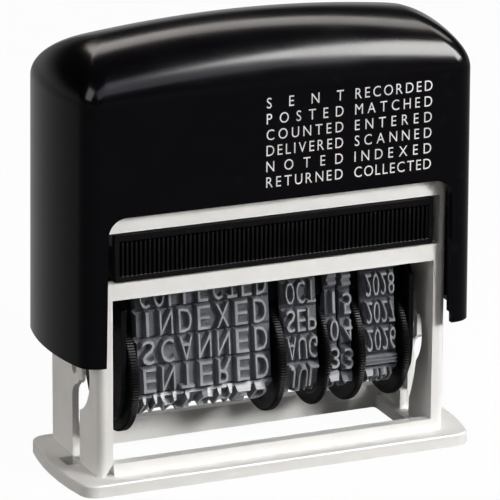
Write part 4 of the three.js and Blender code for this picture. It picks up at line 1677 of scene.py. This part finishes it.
@dataclass
class Case:
    """The foot and the frame, both white.

    Attributes:
        small_edge_share: the share of it that the foot's other edges get.
        end_share: the share of the foot's length beyond which an edge is at its end.
        end_room: how far beyond the frame's end its rim starts, outside the snap holes.
    """

    finishes: Finishes
    edge: float = 0.7 * MM
    small_edge_share: float = 0.3
    frame_edge: float = 0.28 * MM
    end_share: float = 0.93
    side_share: float = 0.9
    end_room: float = 2.6 * MM
    side_room: float = 0.3 * MM
    top_room: float = 0.01 * MM

    def __post_init__(self) -> None:
        """Takes the ends of the foot and the frame from their CAD nodes."""
        self.foot_high, self.frame_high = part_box("base_foot")[1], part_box("frame")[1]

    def share(self, a: Vector, b: Vector) -> float:
        """Gives the foot's outer top edge the whole rounding, and its other edges less.

        Args:
            a: one end of an edge.
            b: its other end.

        Returns:
            The edge's share of the rounding.
        """
        high, frame_high = self.foot_high, self.frame_high
        (near_x, _), (near_y, far_y) = (sorted((abs(a[i]), abs(b[i]))) for i in (0, 1))
        outside = near_x / high.x > self.end_share or far_y > self.side_share * high.y
        top = min(a.z, b.z) > high.z - self.top_room
        rim = near_x > frame_high.x + self.end_room or near_y > frame_high.y + self.side_room
        return 1.0 if outside and top and rim else self.small_edge_share

    def build(self) -> None:
        """Builds both pieces."""
        foot, walls = copy_of("base_foot", "rounded_foot"), copy_of("frame", "softened_frame")
        round_edges(foot, self.edge, segments=4, angle=25.0, heavier=self.share)
        round_edges(walls, self.frame_edge)
        dress(foot, Body.FRAME, self.finishes.white, "base_foot")
        dress(walls, Body.FRAME, self.finishes.white, "frame")


# Ink cartridge


@dataclass
class Cartridge:
    """The ink cartridge with its ribbed grip plate, and the inked felt inside.

    Attributes:
        recess: how deep the field between the plate's borders is sunk.
        lip: how far the plate stands out from the frame's front.
    """

    finishes: Finishes
    plate_thickness: float = 1.2 * MM
    plate_height: float = 7.8 * MM
    border_top: float = 1.3 * MM
    border_bottom: float = 1.0 * MM
    border_end: float = 0.9 * MM
    ribs: int = 70
    rib_share: float = 0.52
    rib_depth: float = 0.35 * MM
    rib_end_room: float = 0.05 * MM
    rib_root: float = 0.1 * MM
    rib_edge: float = 0.16 * MM
    recess: float = 0.3 * MM
    lip: float = 0.12 * MM
    edge: float = 0.2 * MM
    overrun: float = 1.0 * MM
    felt_cuts: int = 40
    felt_waves: Point2 = (1.3 * MM, 0.9 * MM)
    felt_sag: float = 0.004

    def __post_init__(self) -> None:
        """Takes the cartridge's place from its CAD node."""
        self.low, self.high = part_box("ink_cartridge")
        self.front_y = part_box("frame")[0].y
        self.half = self.high.x
        self.field_half = self.half - self.border_end
        self.plate_low_z = self.high.z - self.plate_height
        self.field_low_z = self.plate_low_z + self.border_bottom
        self.field_high_z = self.high.z - self.border_top

    def slab(self, name: str, half: float, y: Point2, z: Point2) -> Object:
        """Makes a box about the middle of the length; its y is from the frame's front."""
        return box_mesh(name, (-half, self.front_y + y[0], z[0]), (half, self.front_y + y[1], z[1]))

    def shell(self) -> Object:
        """Makes the tray behind the plate from the CAD node, and the plate with its sunk field.

        Returns:
            The cartridge without its ribs.
        """
        depth = self.high.y - self.front_y + self.overrun
        tray = combine(copy_of("ink_cartridge", "ribbed_cartridge"), self.slab(
            "behind_plate", self.half, (self.plate_thickness, depth),
            (self.low.z - self.overrun, self.high.z + self.overrun)), "INTERSECT")
        plate = combine(
            self.slab("grip_plate", self.half, (-self.lip, self.plate_thickness),
                      (self.plate_low_z, self.high.z)),
            self.slab("rib_field", self.field_half, (-self.overrun, self.recess),
                      (self.field_low_z, self.field_high_z)), "DIFFERENCE")
        return combine(tray, plate, "UNION")

    def build(self) -> None:
        """Builds the cartridge and its felt."""
        satin = self.finishes.satin
        tray = self.shell()
        round_edges(tray, self.edge, angle=40.0)
        rib = self.slab(
            "grip_rib", self.field_half / self.ribs * self.rib_share,
            (-self.rib_depth, self.recess + self.rib_root),
            (self.field_low_z + self.rib_end_room, self.field_high_z - self.rib_end_room))
        round_edges(rib, self.rib_edge, angle=60.0)
        RowRibs().run(tray, satin.material, rib=rib, count=self.ribs,
                      pitch=2 * self.field_half / self.ribs)
        remove(rib)
        dress(tray, Body.PAD, satin, "ink_cartridge")
        self.build_felt()

    def build_felt(self) -> None:
        """Builds the felt as a soft slab with a slightly uneven face."""
        low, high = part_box("ink_felt")
        felt = box_mesh("soft_ink_felt", low, high)
        middle = (low + high) / 2
        with edited(felt.data) as edit:
            bmesh.ops.subdivide_edges(edit, edges=edit.edges, cuts=self.felt_cuts,
                                      use_grid_fill=True)
            for vert in edit.verts:
                wave = math.prod(math.sin(vert.co[i] / self.felt_waves[i]) for i in (0, 1))
                vert.co = middle + (vert.co - middle) * (1 - self.felt_sag * (1 + wave))
        smooth(felt, angle=50.0)
        dress(felt, Body.PAD, self.finishes.felt, "ink_felt")


# Works inside


@dataclass
class Works:
    """The yoke, the end plates, the bridge, the axle and the spring."""

    finishes: Finishes
    yoke_edge: float = 0.15 * MM
    carrier_edge: float = 0.1 * MM
    axle_edge: float = 0.08 * MM
    spring_radius: float = 4.2 * MM
    wire_radius: float = 0.4 * MM
    spring_turns: float = 6.0
    press_travel: float = 17.0 * MM

    def build_copies(self) -> None:
        """Builds the inner parts from their CAD nodes, with softened edges."""
        satin, steel = self.finishes.satin, self.finishes.steel
        plates = ("end_plate_left", "end_plate_right", "print_bridge")
        for node, body, coat, width in (
                ("yoke", Body.CAP, satin, self.yoke_edge),
                *((plate, Body.CARRIER, satin, self.carrier_edge) for plate in plates),
                ("wheel_axle", Body.CARRIER, steel, self.axle_edge)):
            obj = copy_of(node, f"softened_{node}")
            round_edges(obj, width, angle=35.0)
            dress(obj, body, coat, node)

    def build_spring(self) -> None:
        """Builds the return spring as one coil on the frame; the real one shortens as the cap is
        pressed.
        """
        low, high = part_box("return_spring")
        length, name = high.z - low.z, "wound_return_spring"
        obj = add_object(name, bpy.data.meshes.new(name))
        Coil().run(obj, self.finishes.steel.material, radius=self.spring_radius,
                   wire_radius=self.wire_radius, low=low.z + self.wire_radius,
                   length=length - 2 * self.wire_radius, turns=self.spring_turns)
        obj.data.shade_smooth()
        dress(obj, Body.FRAME, self.finishes.steel, "return_spring")
        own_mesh(obj)

    def build(self) -> None:
        """Builds every inner part."""
        self.build_copies()
        self.build_spring()


# Studio


@dataclass(frozen=True)
class PhotoCamera:
    """The camera at the photograph's angle, as fitted to the frame's straight edges."""

    azimuth: float = math.radians(23.478)
    elevation: float = math.radians(17.683)
    roll: float = math.radians(0.416)
    distance: float = 670.354 * MM
    target: Point3 = (0.0, 0.0, 33.0 * MM)
    focal_pixels: float = 4206.044
    frame_pixels: float = 500.0
    sensor: float = 36.0
    clip: Point2 = (10 * MM, 50.0)

    def build(self) -> None:
        """Makes the camera and sets it on the scene."""
        data = bpy.data.cameras.new("photo_camera")
        data.sensor_width = self.sensor
        data.lens = self.focal_pixels / self.frame_pixels * self.sensor
        data.clip_start, data.clip_end = self.clip
        level = math.cos(self.elevation)
        back = Vector((-math.sin(self.azimuth) * level, -math.cos(self.azimuth) * level,
                       math.sin(self.elevation)))
        right = Vector((math.cos(self.azimuth), -math.sin(self.azimuth), 0.0))
        up = back.cross(right)
        rolled_right = right * math.cos(self.roll) + up * math.sin(self.roll)
        rolled_up = up * math.cos(self.roll) - right * math.sin(self.roll)
        turned = Matrix((rolled_right, rolled_up, back)).transposed().to_4x4()
        obj = add_object("photo_camera", data)
        obj.matrix_world = Matrix.Translation(Vector(self.target) + back * self.distance) @ turned
        bpy.context.scene.camera = obj


@dataclass(frozen=True)
class Softbox:
    """A soft area lamp.

    Attributes:
        direction: where it stands, as seen from the stamp.
        gloss_only: whether it shows in reflections alone.
    """

    name: str
    direction: Point3
    distance: float
    size: Point2
    power: float
    color: Color = (1.0, 1.0, 1.0)
    gloss_only: bool = False
    target: Point3 = (0.0, 0.0, 40 * MM)

    def build(self) -> None:
        """Makes the lamp."""
        data = bpy.data.lights.new(self.name, "AREA")
        data.shape = "RECTANGLE"
        data.size, data.size_y = self.size
        data.energy = self.power
        data.color = self.color
        obj = add_object(self.name, data)
        back = Vector(self.direction).normalized()
        obj.matrix_world = (Matrix.Translation(Vector(self.target) + back * self.distance)
                            @ back.to_track_quat("Z", "Y").to_matrix().to_4x4())
        obj.visible_camera = False
        obj.visible_glossy = self.gloss_only
        obj.visible_diffuse = not self.gloss_only


LAMPS = (
    Softbox("key_lamp", (0.54, -0.76, 0.33), 0.65, (0.13, 0.13), 3.8, (1.0, 0.995, 0.985)),
    Softbox("top_lamp", (0.15, -0.10, 0.98), 0.65, (0.4, 0.4), 0.3),
    Softbox("left_fill", (-1.0, 0.0, 0.35), 0.65, (0.3, 0.3), 1.15, (1.0, 0.95, 0.91)),
    Softbox("shoulder_glint", (0.60, -0.38, 0.70), 0.55, (0.26, 0.32), 31.0,
            (1.0, 0.98, 0.95), True),
    Softbox("shoulder_haze", (0.15, -0.56, 0.76), 0.55, (0.55, 0.30), 4.4,
            (0.84, 0.87, 1.0), True),
    Softbox("ridge_glint", (0.36, 0.57, 0.75), 0.55, (0.60, 0.13), 3.4, (1.0, 0.95, 0.90), True),
    Softbox("corner_glint", (-0.66, -0.22, 0.70), 0.55, (0.26, 0.30), 5.0,
            (1.0, 0.96, 0.93), True))


@dataclass(frozen=True)
class Studio:
    """The pale floor, the white surroundings and the lamps.

    Attributes:
        floor_color: the floor's colour as the light that it throws back sees it.
        floor_white: its colour as the camera sees it, where the shadow falls.
        floor_glow_share: how much of what the camera sees of it is plain white.
        floor_in_gloss: how bright that white is in reflections.
        sky_low: the height where the surroundings start to darken, and their strength there.
        sky_high: the same where they are darkest.
    """

    floor_radius: float = 6.0
    floor_color: Color = (0.36, 0.342, 0.328)
    floor_white: Color = (0.95, 0.95, 0.95)
    floor_glow_share: float = 0.97
    floor_in_gloss: float = 0.6
    ambient: float = 0.11
    sky_low: Point2 = (0.12, 1.0)
    sky_high: Point2 = (0.32, 0.04)

    def show(self, nodes: Nodes, kind: str, plain: Socket, shown: Socket) -> None:
        """Ends a tree in one shader for the stamp's light, and another for the background.

        Args:
            nodes: the tree's nodes.
            kind: what the output is for, Material or World.
            plain: the shader that lights the stamp.
            shown: the one that the camera, gloss and glass see.
        """
        rays = nodes.add("ShaderNodeLightPath").outputs
        first = nodes.math("MAXIMUM", rays["Is Camera Ray"], rays["Is Glossy Ray"])
        seen = nodes.math("MAXIMUM", first, rays["Is Transmission Ray"])
        both = nodes.add("ShaderNodeMixShader", {0: seen, 1: plain, 2: shown})
        nodes.add(f"ShaderNodeOutput{kind}", {"Surface": both.outputs[0]})

    def build_floor(self) -> None:
        """Makes the floor, which is white to the camera and keeps the stamp's shadow."""
        corners = [(x * self.floor_radius, y * self.floor_radius, 0.0)
                   for x, y in ((-1, -1), (1, -1), (1, 1), (-1, 1))]
        floor = mesh_from("studio_floor", corners, [(0, 1, 2, 3)])
        material = bpy.data.materials.new("pale_floor")
        nodes = emptied(material)
        plain, white = (nodes.add("ShaderNodeBsdfDiffuse", {"Color": color}).outputs[0]
                        for color in (self.floor_color, self.floor_white))
        glossy = nodes.add("ShaderNodeLightPath").outputs["Is Glossy Ray"]
        strength = nodes.spread(glossy, (0.0, 1.0), (1.0, self.floor_in_gloss))
        glow = nodes.add("ShaderNodeEmission", {"Strength": strength}).outputs[0]
        shown = nodes.add("ShaderNodeMixShader", {0: self.floor_glow_share, 1: white, 2: glow})
        self.show(nodes, "Material", plain, shown.outputs[0])
        floor.data.materials.append(material)

    def build_world(self) -> None:
        """Makes the world: white at the level of the stamp, and darker overhead."""
        world = bpy.data.worlds.new("studio")
        nodes = emptied(world)
        direction = nodes.add("ShaderNodeTexCoord").outputs["Generated"]
        height = nodes.add("ShaderNodeSeparateXYZ", {0: direction}).outputs["Z"]
        strengths = (self.ambient, nodes.spread(height, self.sky_low, self.sky_high))
        self.show(nodes, "World", *(nodes.add("ShaderNodeBackground", {
            "Strength": strength}).outputs[0] for strength in strengths))
        bpy.context.scene.world = world

    def build(self) -> None:
        """Builds the studio and sets the view transform."""
        self.build_floor()
        self.build_world()
        for lamp in LAMPS:
            lamp.build()
        bpy.context.scene.view_settings.view_transform = "Standard"


def main() -> None:
    """Builds the studio and every sub-assembly."""
    logging.basicConfig(level=logging.INFO, format="%(name)s %(message)s")
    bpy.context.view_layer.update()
    PhotoCamera().build()
    Studio().build()
    finishes = Finishes()
    for assembly in (Case(finishes), Works(finishes), WheelSet(finishes), BandSet(finishes),
                     Cartridge(finishes), Cap(finishes)):
        assembly.build()
        log.info("%s done", type(assembly).__name__)


if __name__ == "__main__":
    main()
